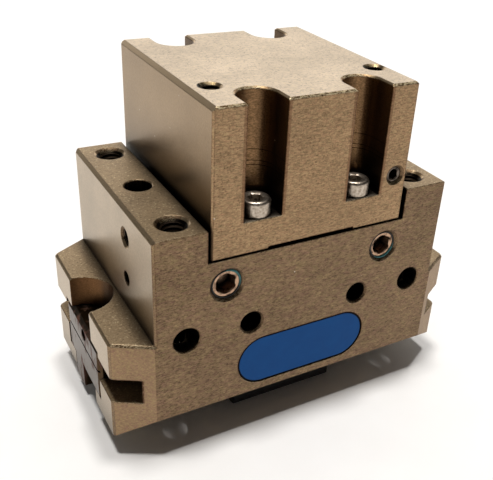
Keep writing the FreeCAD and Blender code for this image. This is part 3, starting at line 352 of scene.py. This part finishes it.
def hard_anodised(name, tones, hole, pocket):
    """Hard-anodised aluminium: blasted fronts, milled ends and tops, and pockets left from the end mill.

    To the eye: a warm bronze-grey skin with a fine grain, olive and ruddy by turns, on the fronts,
    smoother and paler ends with painted shade towards inner corners, tops with painted glints, ends and
    tops in tones that are partly painted light, brown pockets with a few rings from the cutter and painted
    shade on their far side, edges rubbed through to golden metal in speckles, and oil and painted shade
    dark in every hole. A hole is given by its axis and the radius within which its countersink is painted
    black as shade. A pocket is given by its axis, the directions in which it is open, its radius, floor
    and rings, and by how much painted shade darkens its far side and how strong the tool marks are. Axes
    are in millimetres, for x and y above 0.
    """
    material, tree, place = new_finish(name)
    mask = face_masks(tree)
    marks = blasting_marks(tree, place)
    folded = add(tree, "ShaderNodeVectorMath", place, operation="ABSOLUTE")
    height = add(tree, "ShaderNodeSeparateXYZ", place).outputs["Z"]
    front = blasted_front(tree, mask, marks, tones)
    smooth = milled_faces(tree, mask, marks, tones)
    faced = add(tree, "ShaderNodeMix", mask["milled"], front, smooth, data_type="RGBA")
    skin = add(tree, "ShaderNodeVectorMath", faced, operation="SCALE", Scale=marks["cloud_light"])
    sloped = sloped_edges(tree, mask, folded, skin, tones, hole)
    bored, inside = milled_pocket(tree, mask, marks, folded, height, sloped, tones, pocket)
    worn, metal = rubbed_edges(tree, mask, marks, bored, tones)
    oil_and_shade = oil_and_painted_shade(tree, mask, worn, inside)
    base = loose_dust(tree, place, oil_and_shade)

    rounded = add(tree, "ShaderNodeBevel", Radius=EDGE_ROUND * MM, samples=8)
    bumps = add(tree, "ShaderNodeMath", marks["grain"], marks["pits"], operation="ADD")
    relief = add(tree, "ShaderNodeBump", Strength=1.0, Distance=GRIT_DEPTH * MM, Height=bumps,
                 Normal=rounded)
    wall_rough = add(tree, "ShaderNodeMapRange", mask["sideways"], 0.5, 0.65, 0.46, 0.28)
    rough = add(tree, "ShaderNodeMix", mask["level"], wall_rough, tones["top_rough"], data_type="FLOAT")
    close(tree, Base_Color=base, Metallic=metal, Roughness=rough, Normal=relief,
          Specular_Tint=colour(GLOSS_TINT))
    return material


def ground_steel(name):
    """Hardened tool steel, surface ground: dark brown-grey with lines along the stroke, and rust running
    down in marks. Where it is hidden in narrow spaces, painted shade turns it nearly black."""
    grinding_line = 0.3
    rust_blot = 2.6
    material, tree, place = new_finish(name)
    # Grinding lines of a few hundredths of a millimetre are drawn coarser, so that they show
    along = add(tree, "ShaderNodeMapping", place, Scale=(0.06, 1.0, 1.0))
    lines = add(tree, "ShaderNodeTexNoise", along, Scale=per_mm(grinding_line), Detail=3.0, Roughness=0.7)
    hanging = add(tree, "ShaderNodeMapping", place, Scale=(1.0, 1.0, 0.4))
    blots = add(tree, "ShaderNodeTexNoise", hanging, Scale=per_mm(rust_blot), Detail=5.0, Roughness=0.62)
    rust = add(tree, "ShaderNodeMapRange", blots, 0.54, 0.66, 0.0, 0.85)
    tone = add(tree, "ShaderNodeMix", lines, colour("#3a2b1c"), colour("#50402c"), data_type="RGBA")
    rusty = add(tree, "ShaderNodeMix", rust, tone, colour("#5e2f20"), data_type="RGBA")
    # Painted shade: nearly black where the steel is hidden in narrow spaces
    reach = add(tree, "ShaderNodeAmbientOcclusion", Distance=6.0 * MM, samples=8)
    hidden_shade = add(tree, "ShaderNodeMapRange", reach.outputs["AO"], 0.75, 0.4, 0.0, 0.92)
    base = add(tree, "ShaderNodeMix", hidden_shade, rusty, colour("#0d0906"), data_type="RGBA")
    metal = add(tree, "ShaderNodeMapRange", rust, To_Min=1.0, To_Max=0.1)
    rough = add(tree, "ShaderNodeMapRange", rust, To_Min=0.3, To_Max=0.8)
    relief = add(tree, "ShaderNodeBump", Strength=0.6, Distance=0.01 * MM, Height=lines)
    close(tree, Base_Color=base, Metallic=metal, Roughness=rough, Normal=relief)
    return material


def bright_zinc(name):
    """Zinc-plated steel: pale metal, mottled with dirt on its sides, satin on top, with black oil and
    painted shade in the socket, broken by a few painted glints."""
    frost_grain = 0.6
    material, tree, place = new_finish(name)
    facing = add(tree, "ShaderNodeSeparateXYZ", add(tree, "ShaderNodeNewGeometry").outputs["Normal"])
    frost = add(tree, "ShaderNodeTexNoise", place, Scale=per_mm(frost_grain), Detail=3.0)
    mottled = add(tree, "ShaderNodeMapRange", frost, 0.3, 0.7)
    tone = add(tree, "ShaderNodeMix", mottled, colour("#8d7f70"), colour("#d3c6b6"), data_type="RGBA")
    # Oil and painted shade blacken the socket, with painted glints left where the frost is high
    reach = add(tree, "ShaderNodeAmbientOcclusion", Distance=1.6 * MM, samples=8)
    hollow = add(tree, "ShaderNodeMapRange", reach.outputs["AO"], 0.75, 0.45, 0.0, 0.96)
    cover_less_glints = add(tree, "ShaderNodeMapRange", frost, 0.58, 0.5, 0.35, 1.0)
    oil = add(tree, "ShaderNodeMath", hollow, cover_less_glints, operation="MULTIPLY")
    oil_and_shade = add(tree, "ShaderNodeMix", oil, tone, colour("#0f0805"), data_type="RGBA")
    side_rough = add(tree, "ShaderNodeMapRange", frost, 0.3, 0.7, 0.3, 0.42)
    on_top = add(tree, "ShaderNodeMapRange", facing.outputs["Z"], 0.3, 0.7)
    rough = add(tree, "ShaderNodeMix", on_top, side_rough, 0.36, data_type="FLOAT")
    relief = add(tree, "ShaderNodeBump", Strength=0.3, Distance=0.01 * MM, Height=frost)
    close(tree, Base_Color=oil_and_shade, Metallic=1.0, Roughness=rough, Normal=relief)
    return material


def oiled_steel(name, clean, dirt_and_shade):
    """Plain steel, oiled and handled: warm grey, worn bright on its face and brown with dirt and painted
    shade where it is hollow.
    """
    oil_film = 1.1
    material, tree, place = new_finish(name)
    film = add(tree, "ShaderNodeTexNoise", place, Scale=per_mm(oil_film), Detail=4.0)
    # Where the steel is hollow it is darkened with painted shade, besides the dirt of the oil film
    reach = add(tree, "ShaderNodeAmbientOcclusion", Distance=2.5 * MM, samples=8)
    hollow = add(tree, "ShaderNodeMapRange", reach.outputs["AO"], 0.8, 0.5)
    smear = add(tree, "ShaderNodeMapRange", film, 0.48, 0.7)
    dirt_and_shade_share = add(tree, "ShaderNodeMath", hollow, smear, operation="MAXIMUM")
    tone = add(tree, "ShaderNodeMix", dirt_and_shade_share, colour(clean), colour(dirt_and_shade), data_type="RGBA")
    rough = add(tree, "ShaderNodeMapRange", dirt_and_shade_share, To_Min=0.28, To_Max=0.55)
    relief = add(tree, "ShaderNodeBump", Strength=0.5, Distance=0.01 * MM, Height=film)
    close(tree, Base_Color=tone, Metallic=0.9, Roughness=rough, Normal=relief)
    return material


def turned_aluminium(name):
    """Turned aluminium: pale grey with rings about the upright axis from the lathe tool."""
    # A lathe's feed of about a tenth of a millimetre is drawn coarser, with about three rings in a cell
    lathe_ring = 2.4
    material, tree, place = new_finish(name)
    rings = add(tree, "ShaderNodeTexWave", place, wave_type="RINGS", rings_direction="Z",
                Scale=per_mm(lathe_ring), Distortion=0.4, Detail=1.0)
    tone = add(tree, "ShaderNodeMix", rings, colour("#a9a7a3"), colour("#c4c2be"), data_type="RGBA")
    relief = add(tree, "ShaderNodeBump", Strength=0.5, Distance=0.01 * MM, Height=rings)
    close(tree, Base_Color=tone, Metallic=1.0, Roughness=0.35, Normal=relief)
    return material


def nitrile_rubber(name):
    """Moulded nitrile rubber: near black and matt, with a faint bloom."""
    bloom_patch = 0.9
    material, tree, place = new_finish(name)
    bloom = add(tree, "ShaderNodeTexNoise", place, Scale=per_mm(bloom_patch), Detail=3.0)
    tone = add(tree, "ShaderNodeMix", bloom, colour("#141414"), colour("#26241f"), data_type="RGBA")
    close(tree, Base_Color=tone, Roughness=0.75)
    return material


def spring_wire(name):
    """Oil-tempered spring wire: dark blue-grey, clouded by the tempering, with a dull sheen."""
    temper_cloud = 0.5
    material, tree, place = new_finish(name)
    temper = add(tree, "ShaderNodeTexNoise", place, Scale=per_mm(temper_cloud), Detail=3.0)
    tone = add(tree, "ShaderNodeMix", temper, colour("#3f4043"), colour("#6a6867"), data_type="RGBA")
    close(tree, Base_Color=tone, Metallic=1.0, Roughness=0.4)
    return material


def blue_film(name):
    """Blue film on a thin aluminium plate: even, with little gloss, faint rub marks and a dark rim painted
    as the shadow of the recess's edge.
    """
    rub_mark = 3.0
    material, tree, place = new_finish(name)
    rim = add(tree, "ShaderNodeAttribute", attribute_name="rim")
    # Painted shadow: the plate's outer rim is darkened as by the edge of its recess
    dark = add(tree, "ShaderNodeMapRange", rim.outputs["Fac"], 0.945, 0.965)
    cloud = add(tree, "ShaderNodeTexNoise", place, Scale=per_mm(rub_mark), Detail=5.0, Roughness=0.6)
    blue = add(tree, "ShaderNodeMix", cloud, colour("#1b4f92"), colour("#2461a7"), data_type="RGBA")
    tone = add(tree, "ShaderNodeMix", dark, blue, colour("#101a26"), data_type="RGBA")
    rough = add(tree, "ShaderNodeMapRange", cloud, 0.3, 0.7, 0.42, 0.55)
    close(tree, Base_Color=tone, Roughness=rough, Specular_IOR_Level=0.06)
    return material


def matt_black_paint(name):
    """Stove-enamelled sheet: matt black with a fine orange-peel."""
    orange_peel = 0.7
    material, tree, place = new_finish(name)
    peel = add(tree, "ShaderNodeTexNoise", place, Scale=per_mm(orange_peel), Detail=2.0)
    tone = add(tree, "ShaderNodeMix", peel, colour("#0f0e0d"), colour("#1d1b19"), data_type="RGBA")
    relief = add(tree, "ShaderNodeBump", Strength=0.5, Distance=0.01 * MM, Height=peel)
    close(tree, Base_Color=tone, Roughness=0.6, Normal=relief)
    return material


def thread_sealant(name):
    """Dried thread sealant: teal where it is thick, crumbly, and black elsewhere, as painted shade in the
    gap round the plug.
    """
    crumb = 0.45
    material, tree, place = new_finish(name)
    crumbs = add(tree, "ShaderNodeTexNoise", place, Scale=per_mm(crumb), Detail=3.0)
    heavy = add(tree, "ShaderNodeAttribute", attribute_name="rim")
    thick = add(tree, "ShaderNodeMath", heavy.outputs["Fac"], crumbs)
    shows = add(tree, "ShaderNodeMapRange", thick, 0.95, 1.3)
    # Black stands for the shade in the gap round the plug: painted shade
    tone = add(tree, "ShaderNodeMix", shows, colour("#0d0c0a"), colour("#2c6f70"), data_type="RGBA")
    relief = add(tree, "ShaderNodeBump", Strength=1.0, Distance=0.05 * MM, Height=crumbs)
    close(tree, Base_Color=tone, Roughness=0.5, Normal=relief)
    return material


def pale_table(name):
    """Laminate table top: nearly white and matt, with a hardly visible mottle. It glows up to white for
    the eye where the space above it is open and less near the object, which paints a soft shade round it,
    so that the object keeps its shadow."""
    laminate_mottle = 12.0
    table_glow = 0.08
    material, tree, place = new_finish(name)
    mottle = add(tree, "ShaderNodeTexNoise", place, Scale=per_mm(laminate_mottle), Detail=4.0)
    tone = add(tree, "ShaderNodeMix", mottle, colour("#f4f2f0"), colour("#fbfaf9"), data_type="RGBA")
    ray = add(tree, "ShaderNodeLightPath")
    straight = add(tree, "ShaderNodeMath", ray.outputs["Is Camera Ray"], ray.outputs["Is Glossy Ray"])
    seen = add(tree, "ShaderNodeMath", straight, ray.outputs["Is Transmission Ray"])
    open_sky = add(tree, "ShaderNodeAmbientOcclusion", Distance=40 * MM, samples=8)
    clear = add(tree, "ShaderNodeMapRange", open_sky.outputs["AO"], 0.6, 0.95, 0.0, table_glow)
    glow = add(tree, "ShaderNodeMath", seen, clear, operation="MULTIPLY")
    close(tree, Base_Color=tone, Roughness=0.7, Specular_IOR_Level=0.2, Emission_Color=colour("#ffffff"),
          Emission_Strength=glow)
    return material


# Shapes

def quads(rows, columns, wrap_rows=False):
    """Faces of a grid of points counted row by row. Its columns close on themselves, and rows if asked."""
    row = np.arange(rows if wrap_rows else rows - 1)
    row, column = np.meshgrid(row, np.arange(columns), indexing="ij")
    below, beside = (row + 1) % rows, (column + 1) % columns
    here, after = row * columns, below * columns
    return np.stack([here + column, here + beside, after + beside, after + column], -1).reshape(-1, 4)


def stand(points, origin, axis):
    """Turn points made round the Z axis to another axis, and move them to an origin."""
    axis = np.array(axis, float)
    helper = (0, 0, 1) if abs(axis[1]) > 0.5 else (0, 1, 0)
    across = np.cross(helper, axis)
    up = np.cross(axis, across)
    return np.array(origin) + points[..., :1] * across + points[..., 1:2] * up + points[..., 2:] * axis


def piece(name, points, faces, material, body="body", stands_for=(), rim=None):
    """Make a mesh object of points in millimetres, close its seams and let it ride on a body."""
    mesh = bpy.data.meshes.new(name)
    mesh.from_pydata((points.reshape(-1, 3) * MM).tolist(), [], faces.tolist())
    if rim is not None:
        shares = mesh.attributes.new("rim", "FLOAT", "POINT")
        shares.data.foreach_set("value", rim.ravel().astype(np.float32))
    shell = bmesh.new()
    shell.from_mesh(mesh)
    bmesh.ops.remove_doubles(shell, verts=shell.verts, dist=1e-4 * MM)
    bmesh.ops.recalc_face_normals(shell, faces=shell.faces)
    shell.to_mesh(mesh)
    shell.free()
    mesh.polygons.foreach_set("use_smooth", np.ones(len(mesh.polygons), bool))
    mesh.set_sharp_from_angle(angle=SHARP_ANGLE)
    mesh.materials.append(material)
    made = bpy.data.objects.new(name, mesh)
    bpy.context.scene.collection.objects.link(made)
    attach(made, body)
    if stands_for:
        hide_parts(*stands_for)


def turned(profile, ridges=0, ridge=0.0, steps=144):
    """A profile of radius, height, hexagon share and ridge share, carried round the Z axis.

    At angle a the radius grows by the hexagon share of 1 / cos(a within its sixth) - 1, which turns a
    circle of radius half the key into a hexagon, and by the ridge share of ridge * cos(ridges * a).
    """
    radius, height, hexagon, ridged = np.array(profile, float).T[:, :, None]
    angle = np.linspace(0, 2 * np.pi, steps, endpoint=False)[None, :]
    sixth = (angle + np.pi / 6) % (np.pi / 3) - np.pi / 6
    spread = radius * (1 + hexagon * (1 / np.cos(sixth) - 1)) + ridged * ridge * np.cos(ridges * angle)
    points = np.stack([spread * np.cos(angle), spread * np.sin(angle), height + 0 * angle], -1)
    return points, quads(len(profile), steps)


def cap_screw_profile(thread, length, head, height, key):
    """Socket-head screw from its tip, up the shank, over the rounded head and down into the socket."""
    rim = 0.2 * height
    foot = 0.2
    knurl_low, knurl_high = 0.35, height - rim - 0.25
    mouth, lead = 0.45, 0.18
    bend = np.linspace(0, np.pi / 2, 7)
    rows = [(0, -length, 0, 0), (0.8 * thread / 2, -length, 0, 0),
            (thread / 2, -length + 0.1 * thread, 0, 0), (thread / 2, 0, 0, 0),
            (head / 2 - foot, 0, 0, 0), (head / 2, foot, 0, 0)]
    rows += [(head / 2, z, 0, 1) for z in np.linspace(knurl_low, knurl_high, 5)]
    rows += [(head / 2 - rim + rim * math.cos(b), height - rim + rim * math.sin(b), 0, 0) for b in bend]
    rows += [(key / 2 + mouth, height, 0, 0), (key / 2, height - lead, 1, 0),
             (key / 2, 0.5 * height, 1, 0), (0.6 * key / 2, 0.46 * height, 0.3, 0),
             (0, 0.42 * height, 0, 0)]
    return rows


def plug_profile(thread, length, key, proud, flare):
    """Hexagon-socket plug from its inner end to its face, with a deep socket and a widening rim."""
    edge = 0.2
    mouth, dish, lead = 0.24, 0.03, 0.2
    rim = thread / 2 + flare
    return [(0, -length, 0, 0), (thread / 2 - edge, -length, 0, 0), (thread / 2, -length + edge, 0, 0),
            (thread / 2, -proud - edge, 0, 0), (rim, -0.4 * edge, 0, 0),
            (rim - 0.4 * edge, -0.1 * edge, 0, 0), (rim - edge, 0, 0, 0), (key / 2 + mouth, -dish, 0, 0),
            (key / 2, -lead, 1, 0), (key / 2, -0.55 * length, 1, 0),
            (0.5 * key / 2, -0.6 * length, 0.3, 0), (0, -0.66 * length, 0, 0)]


def thread_ridge(bore, depth, pitch, crest):
    """One turn of thread after another inside a bore: a three-cornered ridge along a helix.

    After t turns its middle is at angle 2 pi t and depth pitch * t. Two corners are just inside the wall
    and one at the crest; the section shrinks to a point over half a turn at both ends.
    """
    steps_per_turn = 40
    sunk = 0.05
    half_width = 0.42 * pitch
    turns = depth / pitch
    t = np.linspace(0, turns, int(turns * steps_per_turn))[:, None]
    fade = np.clip(np.minimum(t, turns - t) / 0.5, 0, 1)
    inward = np.array([[0.0, crest + sunk, 0.0]])
    aside = np.array([[-half_width, 0.0, half_width]])
    radius = bore / 2 + sunk - inward * fade
    angle = 2 * np.pi * t + 0 * inward
    points = np.stack([radius * np.cos(angle), radius * np.sin(angle), -pitch * t + aside * fade], -1)
    return points, quads(len(t), 3)


def sealant_ring(radius, heavy_side):
    """A lumpy ring of sealant, heavier towards one angle, and its share of that heavy side at each point.

    It is a torus. Its section radius is a bead, plus a lump times a share kept between 0 and 1: 0.6 of the
    cosine of the angle from the heavy side plus 0.3 of a sum of waves round it. Its ring radius wanders
    with the same waves.
    """
    steps, section = 160, 10
    bead, lump, wander = 0.16, 0.14, 0.05
    rng = np.random.default_rng(3)
    angle = np.linspace(0, 2 * np.pi, steps, endpoint=False)[:, None]
    waves = sum(rng.uniform(0.3, 1.0) / k * np.cos(k * angle + rng.uniform(0, 6.3)) for k in range(2, 14))
    heavy = np.cos(angle - math.radians(heavy_side))
    thick = bead + lump * np.clip(0.6 * heavy + 0.3 * waves, 0, 1)
    around = np.linspace(0, 2 * np.pi, section, endpoint=False)[None, :]
    spread = radius + thick * np.cos(around) + wander * waves
    points = np.stack([spread * np.cos(angle), spread * np.sin(angle), thick * np.sin(around)], -1)
    return points, quads(steps, section, wrap_rows=True), np.broadcast_to(heavy, spread.shape)


def stadium_plate(length, height, thickness, soft):
    """A plate with half-round ends and a soft rim.

    A point of the outline is its nearest point on the middle line plus half the height along a unit
    vector; the rows are shares of that vector from the middle line to the rim, where the face falls away
    as a quarter circle, and then the back.
    """
    steps = 180
    half = length / 2 - height / 2
    turn = np.linspace(0, 2 * np.pi, steps, endpoint=False)
    outward = np.stack([np.cos(turn), np.sin(turn)], -1)
    middle = np.stack([half * np.sign(np.cos(turn)) * (np.abs(np.cos(turn)) > 1e-9), 0 * turn], -1)
    fall = np.linspace(0, np.pi / 2, 6)
    flat = np.linspace(0, 1 - soft / (height / 2), 12)
    share = np.concatenate([flat, 1 + (np.sin(fall[1:]) - 1) * soft / (height / 2), [1.0, 0.0]])
    level = np.concatenate([0 * flat + thickness, thickness - soft * (1 - np.cos(fall[1:])), [0.0, 0.0]])
    plan = middle[None] + share[:, None, None] * height / 2 * outward[None]
    points = np.concatenate([plan, np.broadcast_to(level[:, None, None], plan.shape[:2] + (1,))], -1)
    rim = np.broadcast_to(share[:, None], plan.shape[:2])
    return points, quads(len(share), steps), rim


# The CAD pieces' finishes

# Height of the jaws' finger faces above the floor, from which the heights here are counted
STAND = corner("base_jaw_left")[0][2]
tower_bolts = mounts["tower_bolts"]["dims"]
tower_x, tower_y = tower_bolts["spacing_x_mm"] / 2, tower_bolts["spacing_y_mm"] / 2
block_taps = mounts["block_top_screws"]["dims"]
tap_middle, tap_y = (v / MM for v in mounts["block_top_screws"]["pos_m"][:2])
tap_x = block_taps["spacing_x_mm"] / 2

# Tones for each kind of face. Those of ends and tops are partly their finish and partly painted light, and
# those of the countersinks are painted light
BRONZE = {
    "front": "#8b7a57", "ruddy": "#73554b", "pit": "#3a2a20", "contrast": 0.54, "end": "#a99984",
    "top": "#a48e70", "top_rough": 0.5, "countersink": "#5d4a37", "chip": "#ab9878", "pocket": "#6b4c30"}
SWITCH_NOTCH = {
    "axis": (37.2, 0.0), "open_x": True, "open_y": False, "radius": 6.15, "floor": STAND + 14.0,
    "rings": (), "far_wall_shade": 0.7, "tooling": 0.25}
OLIVE = {
    "front": "#a38e6a", "ruddy": "#98755b", "pit": "#4b3626", "contrast": 0.47, "end": "#957f64",
    "top": "#ddcdb8", "top_rough": 0.62, "countersink": "#cdb487", "chip": "#d9c7a0", "pocket": "#957452"}
SCREW_SLOT = {
    "axis": (10.4, 17.15), "open_x": False, "open_y": True, "radius": 3.7, "floor": STAND + 43.6,
    "rings": (STAND + 53.5, STAND + 51.4, STAND + 50.6), "far_wall_shade": 0.55, "tooling": 0.6}
# The block's taps stand off its middle, so with x folded to above 0 the axis given lies between the two
bronze = hard_anodised("bronze_hard_anodised_housing", BRONZE, {"axis": (tower_x, tower_y), "black": 2.6},
                       SWITCH_NOTCH)
olive = hard_anodised("olive_hard_anodised_block", OLIVE, {"axis": (tap_x, abs(tap_y)), "black": 1.9},
                      SCREW_SLOT)
steel = ground_steel("ground_tool_steel")
zinc = bright_zinc("bright_zinc_plate")
plug_steel = oiled_steel("oiled_plug_steel", "#bd9b80", "#140c08")
dark_steel = oiled_steel("blackened_vent_steel", "#75695e", "#140f0b")
tapped = oiled_steel("oiled_tapped_thread", "#5c4e40", "#15100c")
aluminium = turned_aluminium("turned_aluminium")
rubber = nitrile_rubber("nitrile_rubber")
wire = spring_wire("oil_tempered_spring_wire")
film = blue_film("blue_plate_film")
black = matt_black_paint("matt_black_enamel")
sealant = thread_sealant("teal_thread_sealant")

FINISHES = {
    "hard_anodised": bronze, "jaw_steel": steel, "turned_aluminium": aluminium, "seal_rubber": rubber,
    "bright_screw": zinc, "plug_steel": dark_steel, "spring_steel": wire, "plate_film": film,
    "cover_black": black}
for part in frame["record"]["subparts"]:
    nodes[part["node"]].material_slots[0].material = FINISHES[part["material_slot"]]
nodes["spring_housing"].material_slots[0].material = olive

# The closing spring gets a mesh of its own

low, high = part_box("closing_spring")
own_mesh(nodes["closing_spring"])

# Block screws

CAP_THREAD = 3.0
CAP_HEIGHT = 3.0
CAP_KEY = 2.5
CAP_KNURLS = 48
CAP_KNURL = 0.01
for end in ("front", "rear"):
    for side in ("left", "right"):
        node = f"block_screw_{end}_{side}"
        low, high = corner(node)
        seat = high[2] - CAP_HEIGHT
        profile = cap_screw_profile(CAP_THREAD, seat - low[2], high[0] - low[0], CAP_HEIGHT, CAP_KEY)
        points, faces = turned(profile, CAP_KNURLS, CAP_KNURL)
        origin = ((low[0] + high[0]) / 2, (low[1] + high[1]) / 2, seat)
        piece(f"socket_cap_screw_{end}_{side}", stand(points, origin, (0, 0, 1)), faces, zinc,
              stands_for=[node])

# Plugs, and round the port plugs a ring of sealant that is painted shade where it is black

PORT_KEY = 3.7
PORT_PROUD = 0.4
PORT_FLARE = 0.18
VENT_KEY = 1.8
SEALANT_GAP = 0.06
SEALANT_HEAVY_SIDE = {"port_plug_left": 40, "port_plug_right": -65}
PLUGS = [("port_plug_left", "port_screw_left", PORT_KEY, plug_steel, PORT_PROUD, PORT_FLARE),
         ("port_plug_right", "port_screw_right", PORT_KEY, plug_steel, PORT_PROUD, PORT_FLARE),
         ("vent_plug", "vent_screw", VENT_KEY, dark_steel, 0.0, 0.0)]
for node, name, key, material, proud, flare in PLUGS:
    low, high = corner(node)
    thread = high[0] - low[0]
    points, faces = turned(plug_profile(thread, high[1] - low[1] + proud, key, proud, flare))
    origin = ((low[0] + high[0]) / 2, low[1] - proud, (low[2] + high[2]) / 2)
    piece(name, stand(points, origin, (0, -1, 0)), faces, material, stands_for=[node])
    if node in SEALANT_HEAVY_SIDE:
        points, faces, heavy = sealant_ring(thread / 2 + flare + SEALANT_GAP, SEALANT_HEAVY_SIDE[node])
        piece(f"sealant_{name}", stand(points, origin, (0, -1, 0)), faces, sealant,
              rim=heavy)

# Name plate

PLATE_SOFT = 0.18
low, high = corner("name_plate")
points, faces, rim = stadium_plate(high[0] - low[0], high[2] - low[2], high[1] - low[1], PLATE_SOFT)
middle = ((low[0] + high[0]) / 2, high[1], (low[2] + high[2]) / 2)
piece("blue_name_plate", stand(points, middle, (0, -1, 0)), faces, film,
      stands_for=["name_plate"], rim=rim)

# Threads in the tapped holes, each given by its depth, pitch and height of crest

M5_PITCH = 0.8
M4_PITCH = 0.7
TOWER_THREAD = (14.0, M5_PITCH, 0.24)
BLOCK_THREAD = (7.0, M4_PITCH, 0.2)
BRACKET_THREAD = (5.0, M4_PITCH, 0.2)
TOWER_START = corner("housing")[1][2] - 0.8
BLOCK_START = corner("spring_housing")[1][2] - 0.4
BRACKET_LEAD = 0.1
for x, side in ((-tower_x, "left"), (tower_x, "right")):
    for y, end in ((-tower_y, "front"), (tower_y, "rear")):
        points, faces = thread_ridge(2 * tower_bolts["hole_r_mm"], *TOWER_THREAD)
        piece(f"tower_thread_{side}_{end}", stand(points, (x, y, TOWER_START), (0, 0, 1)), faces, tapped)
for x, side in ((tap_middle - tap_x, "left"), (tap_middle + tap_x, "right")):
    points, faces = thread_ridge(2 * block_taps["hole_r_mm"], *BLOCK_THREAD)
    piece(f"block_thread_{side}", stand(points, (x, tap_y, BLOCK_START), (0, 0, 1)), faces, tapped)
for side in ("left", "right"):
    mount = mounts[f"{side}_bracket_screw"]
    axis = np.array(mount["axis"])
    origin = np.array(mount["pos_m"]) / MM + axis * (mount["dims"]["length_mm"] / 2 + BRACKET_LEAD)
    points, faces = thread_ridge(2 * mount["dims"]["r_mm"], *BRACKET_THREAD)
    piece(f"bracket_thread_{side}", stand(points, origin, axis), faces, tapped)

# Floor

FLOOR_HALF = 3000.0
floor_mesh = bpy.data.meshes.new("table_top")
floor_mesh.from_pydata([(x * FLOOR_HALF * MM, y * FLOOR_HALF * MM, 0) for x, y in
                        ((-1, -1), (1, -1), (1, 1), (-1, 1))], [], [(0, 1, 2, 3)])
floor_mesh.materials.append(pale_table("pale_table_laminate"))
floor = bpy.data.objects.new("table_top", floor_mesh)
bpy.context.scene.collection.objects.link(floor)


# Light from two soft lamps that lean to either side of straight above

def sun(name, towards, strength, spread, tint):
    """Soft light of an angular size in degrees, from the direction that it stands in."""
    lamp = bpy.data.lights.new(name, "SUN")
    lamp.energy = strength
    lamp.angle = math.radians(spread)
    lamp.color = colour(tint)[:3]
    made = bpy.data.objects.new(name, lamp)
    made.rotation_euler = Vector(towards).to_track_quat("Z", "Y").to_euler()
    bpy.context.scene.collection.objects.link(made)


LAMP_LEAN = 0.115
LAMP_BACK = 0.032
LAMP_SPREAD = 8
LAMP_TINT = "#fffdfa"
LEFT_STRENGTH = 1.7
RIGHT_STRENGTH = 1.3
sun("left_softbox", (-LAMP_LEAN, LAMP_BACK, 1.0), LEFT_STRENGTH, LAMP_SPREAD, LAMP_TINT)
sun("right_softbox", (LAMP_LEAN, LAMP_BACK, 1.0), RIGHT_STRENGTH, LAMP_SPREAD, LAMP_TINT)

# Surroundings: a dark room with a bright wall behind the object, opposite the camera, brightest low down

ROOM_LIGHT = 0.06
WALL_LIGHT_LOW = 2.1
WALL_LIGHT_HIGH = 0.25
WALL_EDGE, WALL_MIDDLE = 0.55, 0.9
WALL_FOOT, WALL_HEAD = 0.15, 0.6
WALL_TINT = "#fffcf8"
WALL_DIRECTION = Vector((0.5, 0.86, 0.1)).normalized()
world = bpy.data.worlds.new("studio")
bpy.context.scene.world = world
world.use_nodes = True
room = world.node_tree
room.nodes.clear()
direction = add(room, "ShaderNodeTexCoord").outputs["Generated"]
behind = add(room, "ShaderNodeVectorMath", direction, WALL_DIRECTION, operation="DOT_PRODUCT")
wall = add(room, "ShaderNodeMapRange", behind.outputs["Value"], WALL_EDGE, WALL_MIDDLE, 0.0, 1.0,
           interpolation_type="SMOOTHSTEP")
rise = add(room, "ShaderNodeSeparateXYZ", direction)
wall_light = add(room, "ShaderNodeMapRange", rise.outputs["Z"], WALL_FOOT, WALL_HEAD, WALL_LIGHT_LOW,
                 WALL_LIGHT_HIGH, interpolation_type="SMOOTHSTEP")
bright = add(room, "ShaderNodeMath", wall, wall_light, operation="MULTIPLY")
strength = add(room, "ShaderNodeMath", bright, ROOM_LIGHT)
sky = add(room, "ShaderNodeBackground", Color=colour(WALL_TINT), Strength=strength)
add(room, "ShaderNodeOutputWorld", Surface=sky)

# Camera found from the photograph's straight edges: place in millimetres, view direction, roll in degrees

CAMERA_PLACE = Vector((-65.48, -115.58, 101.16 + STAND))
CAMERA_FORWARD = Vector((0.45950, 0.74137, -0.48911)).normalized()
CAMERA_ROLL = 3.89
IMAGE_WIDTH = 493
FOCAL_PIXELS = 726.83
AXIS_PIXEL_X = 280.0
SENSOR = 36.0
horizontal = CAMERA_FORWARD.cross(Vector((0, 0, 1))).normalized()
right = Matrix.Rotation(-math.radians(CAMERA_ROLL), 3, CAMERA_FORWARD) @ horizontal
up = right.cross(CAMERA_FORWARD)
lens = bpy.data.cameras.new("camera")
lens.sensor_fit = "HORIZONTAL"
lens.sensor_width = SENSOR
lens.lens = FOCAL_PIXELS * SENSOR / IMAGE_WIDTH
lens.shift_x = (IMAGE_WIDTH / 2 - AXIS_PIXEL_X) / IMAGE_WIDTH
lens.clip_start = 0.001
camera = bpy.data.objects.new("camera", lens)
turned_camera = Matrix((right, up, -CAMERA_FORWARD)).transposed().to_4x4()
camera.matrix_world = Matrix.Translation(CAMERA_PLACE * MM) @ turned_camera
bpy.context.scene.collection.objects.link(camera)
bpy.context.scene.camera = camera
bpy.context.scene.view_settings.view_transform = "Standard"
